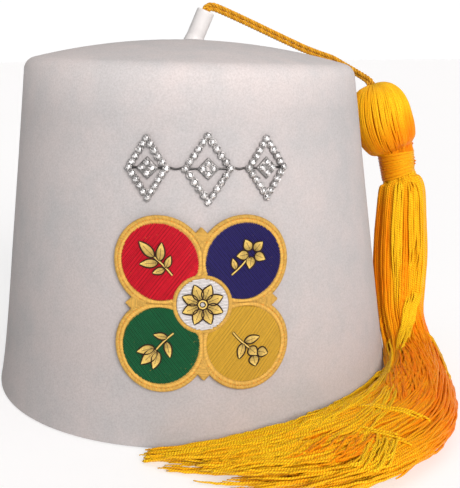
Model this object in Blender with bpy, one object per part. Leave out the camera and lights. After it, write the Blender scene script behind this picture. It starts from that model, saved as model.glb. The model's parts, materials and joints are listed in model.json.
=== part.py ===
"""Fez hat: an oval felt crown with a stem, a doubled cord and a yarn tassel that reaches the floor.

Metres, +Z up. The pieces are modelled about the hat's own axis, with the rim at z = 0, the wearer's
front at -Y and the tassel at +X. An empty then carries them all to the middle of the footprint.
"""
import math
from collections import namedtuple

import bmesh
import bpy
from mathutils import Vector

# ---------------------------------------------------------------- driving dimensions
GAP = 0.0003                    # between touching pieces

RIM_HALF_WIDTH = 0.0885         # outside, at the rim's flare
WALL_TOP_HALF_WIDTH = 0.0706
DEPTH_RATIO = 1.10              # a head is longer than it is wide
CROWN_HEIGHT = 0.1379           # rim to the top of the shoulder
DOME_RISE = 0.0087
SHOULDER_RADIUS = 0.006
FLARE = 0.0015
FLARE_HEIGHT = 0.012
TOP_SLOPE = 0.0306              # the top is lower on the tassel's side
FELT = 0.0025
CROWN_SIDES = 48
WALL_HEIGHTS = (0.0, 0.005, 0.012, 0.022, 0.042, 0.090)
SHOULDER_DEGREES = (0, 26, 52, 75)
DOME_SHARES = (0.80, 0.55, 0.28)    # of the dome's half width

STEM_RADIUS = 0.0039
STEM_LENGTH = 0.0134
STEM_LEAN = math.radians(24)
STEM_BASE_X = 0.0015
SOCKET_RADIUS = 0.0026
SOCKET_DEPTH = 0.003
STEM_EDGE = 0.0007              # rounding of the stem's tip
STEM_SIDES = 20

CORD_RADIUS = 0.00165
CORD_POINTS = 44

NECK_RADIUS = 0.0056
NECK_SIDES = 20
BINDING_RADIUS = 0.0074
BINDING_EDGE = 0.0008
BINDING_CLEARANCE = 0.0006
BINDING_START = 0.0012          # below the neck's top

LOCK_SIDES = 8
LOCK_STATIONS = 15
TAPER_START = 0.72              # share of a lock's length where it begins to narrow
TAPER_LOSS = 0.75               # share of its width that it loses by its end
ROUTE_STEP = 0.002              # share of the route over which its direction is read
HEAD_STEP = 0.01

EMBLEM_ARC = 0.0065             # the emblem's middle, along the wall from the front
EMBLEM_HEIGHT = 0.0525
LOBE_OFFSET = 0.0150
LOBE_RADIUS = 0.0165
BARB_REACH = 0.0275
BORDER_WIDTH = 0.0026
BACKING_INSET = 0.0004
CENTRE_RADIUS = 0.0092
HUB_BORDER = 0.0013             # from the centre disc to the fields round it
BACKING_THICKNESS = 0.0006
BORDER_THICKNESS = 0.0010
FIELD_THICKNESS = 0.0008
CENTRE_THICKNESS = 0.0011
CUTTER_MARGIN = 0.001           # how far a cutter passes the faces that it cuts
LOBE_SIDES = 24
FLAT_STEP = 0.008               # widest flat strip that is bent round the wall

TRIM_ARC = 0.0090
TRIM_HEIGHT = 0.1005
STRIP_WIDTH = 0.0027
STRIP_THICKNESS = 0.0009
STONE_RADIUS = 0.00115
STONE_RISE = 0.0010
STONE_SUNK = 0.0002             # into the strip below
STONE_TABLE = 0.58              # of the stone's radius
STONE_FACETS = 8
STONES_PER_SIDE = 5
CLUSTER_OFFSET = 0.0019
CLUSTER_PAD = 0.0040
WIRE_WIDTH = 0.0008
WIRE_THICKNESS = 0.0006
LINK_LAP = 0.0002               # how far below the motifs' middle the wires between them run
SMOOTH_DEGREES = 40

# The middle line of the tassel's head, from the cord's end to the neck, and of the neck below it.
HEAD_TOP = Vector((0.0824, 0.0150, 0.1262))
HEAD_MIDDLE = Vector((0.0873, 0.0141, 0.1106))
NECK_TOP = Vector((0.0948, 0.0131, 0.0948))
NECK_END = Vector((0.0962, 0.0122, 0.0838))

HeadRow = namedtuple("HeadRow", "along radius")          # along: 0 at the cord, 1 at the neck's top
HEAD_PROFILE = (
    HeadRow(0.00, 0.0022),
    HeadRow(0.03, 0.0052),
    HeadRow(0.11, 0.0088),
    HeadRow(0.24, 0.0120),
    HeadRow(0.39, 0.0136),
    HeadRow(0.54, 0.0139),
    HeadRow(0.69, 0.0134),
    HeadRow(0.80, 0.0123),
    HeadRow(0.88, 0.0108),
    HeadRow(0.95, 0.0074),
    HeadRow(1.00, NECK_RADIUS),
)

# The skirt's middle line with its cross-section. side is the plan angle of the section's width,
# 0 away from the wall and -90 to the front; turn is how far the bundle has rolled about its line.
SkirtRow = namedtuple("SkirtRow", "x y z half_width half_thickness side turn")
SKIRT_ROUTE = (
    SkirtRow(0.0955, 0.0126, 0.0900, 0.0046, 0.0046, 0, 0),
    SkirtRow(0.0962, 0.0122, 0.0836, 0.0054, 0.0054, 0, 0),
    SkirtRow(0.0969, 0.0116, 0.0788, 0.0104, 0.0094, 0, 0),
    SkirtRow(0.0967, 0.0102, 0.0640, 0.0117, 0.0104, 0, 5),
    SkirtRow(0.0966, 0.0082, 0.0480, 0.0125, 0.0106, 0, 15),
    SkirtRow(0.0960, 0.0048, 0.0340, 0.0117, 0.0104, 0, 30),
    SkirtRow(0.0957, -0.0010, 0.0215, 0.0105, 0.0099, 0, 45),
    SkirtRow(0.0968, -0.0105, 0.0128, 0.0106, 0.0086, 0, 58),
    SkirtRow(0.0972, -0.0240, 0.0090, 0.0113, 0.0080, -4, 66),
    SkirtRow(0.0954, -0.0415, 0.0080, 0.0120, 0.0074, -12, 72),
    SkirtRow(0.0905, -0.0618, 0.0074, 0.0154, 0.0068, -26, 76),
    SkirtRow(0.0805, -0.0838, 0.0068, 0.0200, 0.0062, -40, 78),
    SkirtRow(0.0650, -0.1020, 0.0063, 0.0240, 0.0057, -53, 80),
    SkirtRow(0.0455, -0.1140, 0.0058, 0.0260, 0.0052, -67, 80),
    SkirtRow(0.0240, -0.1190, 0.0053, 0.0242, 0.0047, -80, 80),
    SkirtRow(0.0035, -0.1180, 0.0048, 0.0190, 0.0042, -92, 80),
    SkirtRow(-0.0150, -0.1135, 0.0043, 0.0125, 0.0037, -100, 80),
)

# across and over place a lock in the bundle's unit circle; radius is in the same units; end is how
# far along the route it reaches.
Lock = namedtuple("Lock", "across over radius end")
LOCKS = (
    Lock(0.63, 0.00, 0.37, 0.93),
    Lock(0.45, 0.45, 0.38, 0.97),
    Lock(0.00, 0.62, 0.38, 1.00),
    Lock(-0.45, 0.46, 0.37, 0.98),
    Lock(-0.63, 0.02, 0.37, 0.94),
    Lock(-0.46, -0.44, 0.38, 0.90),
    Lock(0.02, -0.62, 0.37, 0.87),
    Lock(0.46, -0.45, 0.38, 0.90),
)
CORE = Lock(0.0, 0.0, 0.66, 0.86)

# The free cord's middle line, from the stem's socket over the dome and shoulder to the head.
CORD_ROUTE = (
    Vector((0.0061, 0.0000, 0.1573)),
    Vector((0.0069, 0.0001, 0.1590)),
    Vector((0.0083, 0.0003, 0.1601)),
    Vector((0.0104, 0.0008, 0.1600)),
    Vector((0.0137, 0.0018, 0.1588)),
    Vector((0.0177, 0.0034, 0.1571)),
    Vector((0.0239, 0.0062, 0.1544)),
    Vector((0.0306, 0.0092, 0.1514)),
    Vector((0.0375, 0.0124, 0.1483)),
    Vector((0.0445, 0.0157, 0.1452)),
    Vector((0.0514, 0.0188, 0.1422)),
    Vector((0.0583, 0.0215, 0.1397)),
    Vector((0.0645, 0.0230, 0.1376)),
    Vector((0.0700, 0.0228, 0.1346)),
    Vector((0.0746, 0.0209, 0.1321)),
    Vector((0.0784, 0.0184, 0.1302)),
    Vector((0.0808, 0.0164, 0.1289)),
    Vector((0.0820, 0.0153, 0.1272)),
)

Finish = namedtuple("Finish", "colour roughness")
FELT_WHITE = Finish((0.66, 0.63, 0.62), 0.95)
STEM_WHITE = Finish((0.78, 0.78, 0.77), 0.55)
YARN_GOLD = Finish((0.90, 0.44, 0.02), 0.55)
BINDING_GOLD = Finish((0.92, 0.48, 0.03), 0.45)
CORD_GOLD = Finish((0.80, 0.38, 0.03), 0.55)
BACKING_CREAM = Finish((0.62, 0.50, 0.26), 0.85)
SATIN_GOLD = Finish((0.78, 0.48, 0.08), 0.50)
THREAD_RED = Finish((0.62, 0.03, 0.05), 0.60)
THREAD_NAVY = Finish((0.04, 0.04, 0.20), 0.60)
THREAD_YELLOW = Finish((0.85, 0.52, 0.05), 0.60)
THREAD_GREEN = Finish((0.01, 0.17, 0.07), 0.60)
THREAD_WHITE = Finish((0.78, 0.77, 0.74), 0.60)
STONE_GREY = Finish((0.55, 0.55, 0.54), 0.20)


# ---------------------------------------------------------------- shared helpers
def clear_scene():
    for old in list(bpy.data.objects):
        bpy.data.objects.remove(old, do_unlink=True)


def finish_material(name, finish, metallic=0.0):
    material = bpy.data.materials.new(name)
    material.use_nodes = True
    shader = material.node_tree.nodes["Principled BSDF"]
    shader.inputs["Base Color"].default_value = (*finish.colour, 1.0)
    shader.inputs["Roughness"].default_value = finish.roughness
    shader.inputs["Metallic"].default_value = metallic
    return material


def object_from(bm, name, finish=None, metallic=0.0, smooth=True):
    mesh = bpy.data.meshes.new(name)
    bm.to_mesh(mesh)
    bm.free()
    if smooth:
        mesh.shade_smooth()
        mesh.set_sharp_from_angle(angle=math.radians(SMOOTH_DEGREES))
    made = bpy.data.objects.new(name, mesh)
    bpy.context.collection.objects.link(made)
    if finish:
        mesh.materials.append(finish_material(name, finish, metallic))
    return made


def bridge(bm, rings):
    """Join a list of equal vertex rings, in order, with quads."""
    for lower, upper in zip(rings, rings[1:]):
        sides = len(lower)
        for i in range(sides):
            j = (i + 1) % sides
            bm.faces.new((lower[i], lower[j], upper[j], upper[i]))


def fan(bm, ring, tip, outward):
    """Close a ring on one vertex. outward is True where the ring turns anticlockwise seen from outside."""
    sides = len(ring)
    for i in range(sides):
        j = (i + 1) % sides
        bm.faces.new((ring[i], ring[j], tip) if outward else (ring[j], ring[i], tip))


def turned_frame(axis):
    """Two unit vectors square to an axis and to each other."""
    side = axis.cross(Vector((0, 1, 0))).normalized()
    return side, axis.cross(side)


def smooth_row(rows, amount):
    """Read a table of equal-length rows as a Catmull-Rom curve, amount running from 0 to 1."""
    spans = len(rows) - 1
    place = min(max(amount, 0.0), 1.0) * spans
    i = min(int(place), spans - 1)
    t = place - i
    before, start, end, after = (rows[min(max(k, 0), spans)] for k in (i - 1, i, i + 1, i + 2))
    return [
        0.5 * (2 * b + (c - a) * t + (2 * a - 5 * b + 4 * c - d) * t * t + (3 * b - a - 3 * c + d) * t ** 3)
        for a, b, c, d in zip(before, start, end, after)
    ]


# ---------------------------------------------------------------- felt crown
def wall_half_width(height):
    straight = RIM_HALF_WIDTH - FLARE
    lean = (WALL_TOP_HALF_WIDTH - straight) * height / CROWN_HEIGHT
    return straight + lean + FLARE * math.exp(-height / FLARE_HEIGHT)


def tilted(point):
    """Lower a point of the crown towards the tassel's side, more the higher it is."""
    return Vector((point.x, point.y, point.z - TOP_SLOPE * point.x * point.z / CROWN_HEIGHT))


def crown_profile():
    """Rows of (half width, height, sideways share, upward share of the felt's thickness)."""
    edge_height = CROWN_HEIGHT - SHOULDER_RADIUS
    rows = [(wall_half_width(height), height, 1.0, 0.0) for height in WALL_HEIGHTS]
    inner = wall_half_width(edge_height) - SHOULDER_RADIUS
    for degrees in SHOULDER_DEGREES:
        angle = math.radians(degrees)
        rows.append((inner + SHOULDER_RADIUS * math.cos(angle),
                     edge_height + SHOULDER_RADIUS * math.sin(angle), math.cos(angle), math.sin(angle)))
    dome_edge, dome_base = rows[-1][:2]
    for share in DOME_SHARES:
        rows.append((dome_edge * share, dome_base + DOME_RISE * (1 - share * share), 0.0, 1.0))
    return rows, dome_edge, dome_base


def dome_height(x, y):
    """Height of the crown's outer face over a point of its top."""
    dome_edge, dome_base = crown_profile()[1:]
    share = math.hypot(x, y / DEPTH_RATIO) / dome_edge
    height = dome_base + DOME_RISE * (1 - share * share)
    return tilted(Vector((x, y, height))).z


def crown_ring(bm, half_width, inset, height):
    ring = []
    for i in range(CROWN_SIDES):
        angle = 2 * math.pi * i / CROWN_SIDES
        point = Vector(((half_width - inset) * math.cos(angle),
                        (DEPTH_RATIO * half_width - inset) * math.sin(angle), height))
        ring.append(bm.verts.new(tilted(point)))
    return ring


def make_crown():
    bm = bmesh.new()
    rows, dome_edge, dome_base = crown_profile()
    outer = [crown_ring(bm, half, 0.0, height) for half, height, side, up in rows]
    inner = [crown_ring(bm, half, side * FELT, height - up * FELT) for half, height, side, up in rows]
    bridge(bm, outer)
    bridge(bm, list(reversed(inner)))
    bridge(bm, [inner[0], outer[0]])
    apex = dome_base + DOME_RISE
    fan(bm, outer[-1], bm.verts.new((0, 0, apex)), outward=True)
    fan(bm, inner[-1], bm.verts.new((0, 0, apex - FELT)), outward=False)
    return object_from(bm, "felt_crown", FELT_WHITE)


# ---------------------------------------------------------------- stem and cord
def make_stem():
    bm = bmesh.new()
    axis = Vector((math.sin(STEM_LEAN), 0, math.cos(STEM_LEAN)))
    side, back = turned_frame(axis)
    base = Vector((STEM_BASE_X, 0, dome_height(STEM_BASE_X, 0)))

    def ring(radius, along):
        return [base + axis * along + radius * (math.cos(a) * side + math.sin(a) * back)
                for a in (2 * math.pi * i / STEM_SIDES for i in range(STEM_SIDES))]

    def seated(point):
        """Slide a point of the foot along the stem until it clears the dome by the gap."""
        for _ in range(3):
            short = dome_height(point.x, point.y) + GAP - point.z
            point = point + axis * (short / axis.z)
        return point

    foot = [seated(point) for point in ring(STEM_RADIUS, 0.0)]
    rings = [foot,
             ring(STEM_RADIUS, STEM_LENGTH - STEM_EDGE),
             ring(STEM_RADIUS - 0.3 * STEM_EDGE, STEM_LENGTH - 0.3 * STEM_EDGE),
             ring(STEM_RADIUS - STEM_EDGE, STEM_LENGTH),
             ring(SOCKET_RADIUS, STEM_LENGTH),
             ring(SOCKET_RADIUS, STEM_LENGTH - SOCKET_DEPTH)]
    loops = [[bm.verts.new(point) for point in points] for points in rings]
    bridge(bm, loops)
    fan(bm, loops[-1], bm.verts.new(base + axis * (STEM_LENGTH - SOCKET_DEPTH)), outward=True)
    fan(bm, loops[0], bm.verts.new(seated(base)), outward=False)
    return object_from(bm, "stem", STEM_WHITE)


def make_cord():
    curve = bpy.data.curves.new("tassel_cord", "CURVE")
    curve.dimensions = "3D"
    curve.bevel_depth = CORD_RADIUS
    curve.bevel_resolution = 2
    curve.use_fill_caps = True
    spline = curve.splines.new("POLY")
    spline.points.add(CORD_POINTS - 1)
    for i, point in enumerate(spline.points):
        point.co = (*smooth_row(CORD_ROUTE, i / (CORD_POINTS - 1)), 1.0)
    curve.materials.append(finish_material("tassel_cord", CORD_GOLD))
    cord = bpy.data.objects.new("tassel_cord", curve)
    bpy.context.collection.objects.link(cord)
    return cord


# ---------------------------------------------------------------- tassel
def skirt_point(along, across, over):
    """A point of the skirt: along the route, across and over inside the bundle's unit circle."""
    row = SkirtRow(*smooth_row(SKIRT_ROUTE, along))
    ahead = SkirtRow(*smooth_row(SKIRT_ROUTE, min(along + ROUTE_STEP, 1.0)))
    behind = SkirtRow(*smooth_row(SKIRT_ROUTE, max(along - ROUTE_STEP, 0.0)))
    line = Vector((ahead.x - behind.x, ahead.y - behind.y, ahead.z - behind.z)).normalized()
    side = Vector((math.cos(math.radians(row.side)), math.sin(math.radians(row.side)), 0))
    side = (side - line * side.dot(line)).normalized()
    top = line.cross(side)
    turn = math.radians(row.turn)
    wide = across * math.cos(turn) - over * math.sin(turn)
    high = across * math.sin(turn) + over * math.cos(turn)
    middle = Vector((row.x, row.y, row.z))
    return middle + side * (wide * row.half_width) + top * (high * row.half_thickness)


def make_lock(lock, name):
    """One tapering lock of yarn as a closed tube, used to build the skirt up by union."""
    bm = bmesh.new()
    rings = []
    for i in range(LOCK_STATIONS):
        share = i / (LOCK_STATIONS - 1)
        along = lock.end * share
        taper = 1.0 - TAPER_LOSS * max(0.0, (share - TAPER_START) / (1 - TAPER_START)) ** 2
        ring = []
        for k in range(LOCK_SIDES):
            angle = 2 * math.pi * (k + 0.5) / LOCK_SIDES
            across = lock.across + lock.radius * taper * math.cos(angle)
            over = lock.over + lock.radius * taper * math.sin(angle)
            ring.append(bm.verts.new(skirt_point(along, across, over)))
        rings.append(ring)
    bridge(bm, rings)
    bm.faces.new(list(reversed(rings[0])))
    bm.faces.new(rings[-1])
    bmesh.ops.recalc_face_normals(bm, faces=bm.faces)
    return object_from(bm, name)


def head_line(along):
    """Middle and direction of the head's bent line: 0 at the cord, 1 at the neck's top, 2 at its end."""
    middles = (HEAD_TOP, HEAD_MIDDLE, NECK_TOP, NECK_END)
    places = (0.0, 0.5, 1.0, 2.0)
    span = 2 if along > 1.0 else 1 if along > 0.5 else 0
    share = (along - places[span]) / (places[span + 1] - places[span])
    middle = Vector(smooth_row(middles, (span + share) / 3))
    ahead = Vector(smooth_row(middles, (span + share) / 3 + HEAD_STEP))
    behind = Vector(smooth_row(middles, (span + share) / 3 - HEAD_STEP))
    return middle, (ahead - behind).normalized()


def make_head():
    bm = bmesh.new()
    rings = []
    for along, radius in (*HEAD_PROFILE, HeadRow(1.5, NECK_RADIUS), HeadRow(2.0, NECK_RADIUS)):
        middle, axis = head_line(along)
        side, back = turned_frame(axis)
        rings.append([bm.verts.new(middle + radius * (math.cos(a) * side + math.sin(a) * back))
                      for a in (2 * math.pi * i / NECK_SIDES for i in range(NECK_SIDES))])
    bridge(bm, rings)
    bm.faces.new(list(reversed(rings[0])))
    bm.faces.new(rings[-1])
    bmesh.ops.recalc_face_normals(bm, faces=bm.faces)
    return object_from(bm, "tassel_yarn", YARN_GOLD)


def hide_cutter(cutter):
    cutter.hide_render = True
    cutter.display_type = "WIRE"
    cutter.hide_set(True)


def boolean(target, tool, operation):
    modifier = target.modifiers.new(f"{operation.lower()} {tool.name}", "BOOLEAN")
    modifier.operation = operation
    modifier.solver = "EXACT"
    modifier.object = tool
    hide_cutter(tool)


def make_yarn():
    yarn = make_head()
    for i, lock in enumerate((CORE, *LOCKS)):
        boolean(yarn, make_lock(lock, f"skirt_lock_{i}"), "UNION")
    return yarn


def make_binding():
    """The wound band: a ring with rounded edges round the neck."""
    bm = bmesh.new()
    axis = (NECK_END - NECK_TOP).normalized()
    side, back = turned_frame(axis)
    length = (NECK_END - NECK_TOP).length
    inner = NECK_RADIUS + BINDING_CLEARANCE
    shoulder = BINDING_RADIUS - BINDING_EDGE
    profile = ((inner, BINDING_START), (shoulder, BINDING_START), (BINDING_RADIUS, BINDING_START + BINDING_EDGE),
               (BINDING_RADIUS, length - BINDING_EDGE), (shoulder, length), (inner, length))
    rings = []
    for i in range(NECK_SIDES):
        angle = 2 * math.pi * i / NECK_SIDES
        out = math.cos(angle) * side + math.sin(angle) * back
        rings.append([bm.verts.new(NECK_TOP + axis * along + out * radius) for radius, along in profile])
    bridge(bm, rings + rings[:1])
    bmesh.ops.recalc_face_normals(bm, faces=bm.faces)
    return object_from(bm, "tassel_binding", BINDING_GOLD)


# ---------------------------------------------------------------- flat work bent round the wall
def wall_point(arc, height, out):
    """A point at an arc length from the front, a height, and a distance outside the felt."""
    half = wall_half_width(height)
    angle = arc / half
    surface = Vector((half * math.sin(angle), -DEPTH_RATIO * half * math.cos(angle), height))
    slope = (WALL_TOP_HALF_WIDTH - RIM_HALF_WIDTH + FLARE) / CROWN_HEIGHT
    normal = Vector((DEPTH_RATIO * math.sin(angle), -math.cos(angle), -slope)).normalized()
    return tilted(surface) + normal * out


def prism(name, outline, low, high):
    """An upright prism on a flat outline given anticlockwise as (across, up) pairs."""
    bm = bmesh.new()
    bottom = [bm.verts.new((across, up, low)) for across, up in outline]
    top = [bm.verts.new((across, up, high)) for across, up in outline]
    bridge(bm, [bottom, top])
    bm.faces.new(list(reversed(bottom)))
    bm.faces.new(top)
    return object_from(bm, name)


def disc_outline(across, up, radius, sides=LOBE_SIDES):
    return [(across + radius * math.cos(a), up + radius * math.sin(a))
            for a in (2 * math.pi * (i + 0.5) / sides for i in range(sides))]


def diamond_outline(across, up, half_across, half_up):
    return [(across + half_across, up), (across, up + half_up), (across - half_across, up),
            (across, up - half_up)]


def bar_outline(left, right, up, width):
    return [(left, up - width / 2), (right, up - width / 2), (right, up + width / 2), (left, up + width / 2)]


def united(name, first, others):
    for tool in others:
        boolean(first, tool, "UNION")
    first.name = name
    return first


def bent_round_wall(flat, name, arc, height, finish, metallic=0.0, smooth=True):
    """Read a flat object with its modifiers, slice it into strips and bend it round the crown."""
    bpy.context.view_layer.update()
    shape = flat.evaluated_get(bpy.context.evaluated_depsgraph_get()).to_mesh()
    bm = bmesh.new()
    bm.from_mesh(shape)
    reach = max(abs(vert.co.x) for vert in bm.verts)
    cuts = int(reach / FLAT_STEP)
    for k in range(-cuts, cuts + 1):
        everything = bm.verts[:] + bm.edges[:] + bm.faces[:]
        place = (k + 0.5) * FLAT_STEP
        bmesh.ops.bisect_plane(bm, geom=everything, dist=1e-7, plane_co=(place, 0, 0), plane_no=(1, 0, 0))
    bmesh.ops.triangulate(bm, faces=bm.faces)
    bmesh.ops.remove_doubles(bm, verts=bm.verts, dist=2e-6)
    for vert in bm.verts:
        across, up, out = vert.co
        vert.co = wall_point(arc + across, height + up, out)
    return object_from(bm, name, finish, metallic, smooth)


def discard(flat):
    """Remove a flat object and the tools of its modifiers once it has been read."""
    for tool in [modifier.object for modifier in flat.modifiers]:
        discard(tool)
    bpy.data.objects.remove(flat, do_unlink=True)


# ---------------------------------------------------------------- emblem
def lobe_centres():
    """The four lobes by name, as (across, up)."""
    return {"red": (-LOBE_OFFSET, LOBE_OFFSET), "navy": (LOBE_OFFSET, LOBE_OFFSET),
            "gold": (LOBE_OFFSET, -LOBE_OFFSET), "green": (-LOBE_OFFSET, -LOBE_OFFSET)}


def quatrefoil(name, low, high, inset=0.0):
    """Four round lobes on a square stood on its corner, whose corners show as barbs."""
    square = prism(f"{name}_square", diamond_outline(0, 0, BARB_REACH - inset, BARB_REACH - inset), low, high)
    lobes = [prism(f"{name}_lobe_{colour}", disc_outline(*centre, LOBE_RADIUS - inset), low, high)
             for colour, centre in lobe_centres().items()]
    return united(name, square, lobes)


def field_prism(name, centre, low, high, grow):
    """A lobe's embroidered field, cut round the centre disc. grow makes the pocket that holds it."""
    radius = LOBE_RADIUS - BORDER_WIDTH + grow
    field = prism(name, disc_outline(*centre, radius), low, high)
    hub = prism(f"{name}_hub", disc_outline(0, 0, CENTRE_RADIUS + HUB_BORDER - grow),
                low - CUTTER_MARGIN, high + CUTTER_MARGIN)
    boolean(field, hub, "DIFFERENCE")
    return field


def make_emblem():
    pieces = []
    backing_top = GAP + BACKING_THICKNESS
    low = backing_top + GAP
    backing = quatrefoil("flat_backing", GAP, backing_top, inset=BACKING_INSET)
    pieces.append(bent_round_wall(backing, "patch_backing", EMBLEM_ARC, EMBLEM_HEIGHT, BACKING_CREAM))
    discard(backing)

    border = quatrefoil("flat_border", low, low + BORDER_THICKNESS)
    deep, proud = low - CUTTER_MARGIN, low + BORDER_THICKNESS + CUTTER_MARGIN
    for colour, centre in lobe_centres().items():
        boolean(border, field_prism(f"pocket_{colour}", centre, deep, proud, GAP), "DIFFERENCE")
    hub = prism("pocket_centre", disc_outline(0, 0, CENTRE_RADIUS + GAP), deep, proud)
    boolean(border, hub, "DIFFERENCE")
    pieces.append(bent_round_wall(border, "patch_border", EMBLEM_ARC, EMBLEM_HEIGHT, SATIN_GOLD))
    discard(border)

    threads = {"red": THREAD_RED, "navy": THREAD_NAVY, "gold": THREAD_YELLOW, "green": THREAD_GREEN}
    for colour, centre in lobe_centres().items():
        field = field_prism(f"flat_{colour}", centre, low, low + FIELD_THICKNESS, 0.0)
        name = f"patch_field_{colour}"
        pieces.append(bent_round_wall(field, name, EMBLEM_ARC, EMBLEM_HEIGHT, threads[colour]))
        discard(field)

    centre = prism("flat_centre", disc_outline(0, 0, CENTRE_RADIUS), low, low + CENTRE_THICKNESS)
    pieces.append(bent_round_wall(centre, "patch_centre", EMBLEM_ARC, EMBLEM_HEIGHT, THREAD_WHITE))
    discard(centre)
    return pieces


# ---------------------------------------------------------------- stone trim
Motif = namedtuple("Motif", "across half_across half_up")
MOTIFS = (
    Motif(-0.0215, 0.0068, 0.0104),
    Motif(0.0, 0.0080, 0.0116),
    Motif(0.0215, 0.0068, 0.0104),
)


def strip_scale(motif, offset):
    """How much a lozenge grows when its sides move out by an offset."""
    side = math.hypot(motif.half_across, motif.half_up)
    return 1 + offset * side / (motif.half_across * motif.half_up)


def motif_stones(motif):
    """Places of a lozenge's stones: five to a side and four in the middle."""
    corners = diamond_outline(motif.across, 0, motif.half_across, motif.half_up)
    places = []
    for (x0, y0), (x1, y1) in zip(corners, corners[1:] + corners[:1]):
        for i in range(STONES_PER_SIDE):
            share = i / STONES_PER_SIDE
            places.append((x0 + (x1 - x0) * share, y0 + (y1 - y0) * share))
    places += diamond_outline(motif.across, 0, CLUSTER_OFFSET, CLUSTER_OFFSET)
    return places


def all_stones(low):
    """Every cut stone, apart from its neighbours, sunk a little into the strip below it."""
    bm = bmesh.new()
    levels = ((STONE_RADIUS, low - STONE_SUNK), (STONE_RADIUS * STONE_TABLE, low + STONE_RISE))
    for motif in MOTIFS:
        for across, up in motif_stones(motif):
            rings = [[bm.verts.new((x, y, level)) for x, y in disc_outline(across, up, radius, STONE_FACETS)]
                     for radius, level in levels]
            bridge(bm, rings)
            bm.faces.new(list(reversed(rings[0])))
            bm.faces.new(rings[-1])
    return object_from(bm, "flat_stones", smooth=False)


def make_stone_trim():
    low, high = GAP, GAP + STRIP_THICKNESS
    first, others = None, []
    for i, motif in enumerate(MOTIFS):
        grow = strip_scale(motif, STRIP_WIDTH / 2)
        shrink = strip_scale(motif, -STRIP_WIDTH / 2)
        loop = prism(f"loop_{i}", diamond_outline(motif.across, 0, motif.half_across * grow,
                                                  motif.half_up * grow), low, high)
        hole = prism(f"loop_hole_{i}", diamond_outline(motif.across, 0, motif.half_across * shrink,
                                                       motif.half_up * shrink),
                     low - CUTTER_MARGIN, high + CUTTER_MARGIN)
        boolean(loop, hole, "DIFFERENCE")
        pad = prism(f"pad_{i}", diamond_outline(motif.across, 0, CLUSTER_PAD, CLUSTER_PAD), low, high)
        bar = prism(f"bar_{i}", bar_outline(motif.across - motif.half_across, motif.across + motif.half_across,
                                            0.0, WIRE_WIDTH), low, low + WIRE_THICKNESS)
        others += [pad, bar] if first is None else [loop, pad, bar]
        first = first or loop
    for i, (left, right) in enumerate(zip(MOTIFS, MOTIFS[1:])):
        others.append(prism(f"link_{i}", bar_outline(left.across + left.half_across,
                                                     right.across - right.half_across, -LINK_LAP, WIRE_WIDTH),
                            low, low + WIRE_THICKNESS))
    others.append(all_stones(high))
    flat = united("flat_trim", first, others)
    trim = bent_round_wall(flat, "stone_trim", TRIM_ARC, TRIM_HEIGHT, STONE_GREY, metallic=0.6, smooth=False)
    discard(flat)
    return trim


# ---------------------------------------------------------------- assembly
def footprint_middle(pieces):
    """Middle of the pieces' box in plan."""
    bpy.context.view_layer.update()
    graph = bpy.context.evaluated_depsgraph_get()
    points = [piece.matrix_world @ Vector(corner)
              for piece in pieces for corner in piece.evaluated_get(graph).bound_box]
    return Vector([(min(p[i] for p in points) + max(p[i] for p in points)) / 2 for i in (0, 1)] + [0.0])


def main():
    clear_scene()
    standing = [make_crown(), make_stem(), make_yarn(), make_binding(), *make_emblem(), make_stone_trim()]
    hat = bpy.data.objects.new("hat", None)
    bpy.context.collection.objects.link(hat)
    hat.location = -footprint_middle(standing)
    for piece in [*standing, make_cord()]:
        piece.parent = hat
    for cutter in [thing for thing in bpy.data.objects if thing.hide_render]:
        cutter.parent = hat


main()
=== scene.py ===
"""Fez hat: the looks of the felt, stem, cord, tassel, emblem and stone trim.

Laid out as an add-on. Every piece is built in metres in the frame of the packed part, about the crown's
own axis, and repeats the part's own sizes and routes.
"""
import json
import math

import bpy
import numpy as np
from bpy.props import FloatProperty, FloatVectorProperty, IntProperty, PointerProperty
from mathutils import Matrix, Vector

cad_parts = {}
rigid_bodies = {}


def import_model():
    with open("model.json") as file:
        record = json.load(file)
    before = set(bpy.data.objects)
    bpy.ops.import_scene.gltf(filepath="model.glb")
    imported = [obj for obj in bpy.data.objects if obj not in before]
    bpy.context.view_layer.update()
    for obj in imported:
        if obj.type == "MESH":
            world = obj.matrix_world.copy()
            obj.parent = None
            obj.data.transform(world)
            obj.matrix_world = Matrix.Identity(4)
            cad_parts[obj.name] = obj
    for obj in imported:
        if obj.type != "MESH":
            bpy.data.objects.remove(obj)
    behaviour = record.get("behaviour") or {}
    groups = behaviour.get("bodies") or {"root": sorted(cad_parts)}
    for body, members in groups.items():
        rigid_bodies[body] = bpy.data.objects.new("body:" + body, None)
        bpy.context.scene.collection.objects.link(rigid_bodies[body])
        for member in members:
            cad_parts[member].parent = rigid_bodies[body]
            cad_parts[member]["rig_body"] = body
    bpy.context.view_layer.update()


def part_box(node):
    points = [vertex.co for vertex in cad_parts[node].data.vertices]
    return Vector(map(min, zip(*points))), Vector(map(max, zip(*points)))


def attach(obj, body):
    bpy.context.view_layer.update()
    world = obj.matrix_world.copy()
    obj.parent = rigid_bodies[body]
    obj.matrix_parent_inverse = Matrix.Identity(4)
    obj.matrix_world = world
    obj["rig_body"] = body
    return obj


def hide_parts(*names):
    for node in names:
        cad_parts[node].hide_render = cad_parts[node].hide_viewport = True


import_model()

bl_info = {
    "name": "Fez Hat",
    "version": (1, 0, 0),
    "blender": (4, 5, 0),
    "location": "3D View > Sidebar > Fez",
    "description": "Builds a felt fez with its cord, yarn tassel, embroidered emblem and stone trim",
    "category": "Add Mesh",
}

# -------------------- the part's own sizes, in metres
_LOW, _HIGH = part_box("felt_crown")
AXIS = np.array([(_LOW.x + _HIGH.x) / 2, (_LOW.y + _HIGH.y) / 2, 0.0])
UP = np.array([0.0, 0.0, 1.0])

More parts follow.
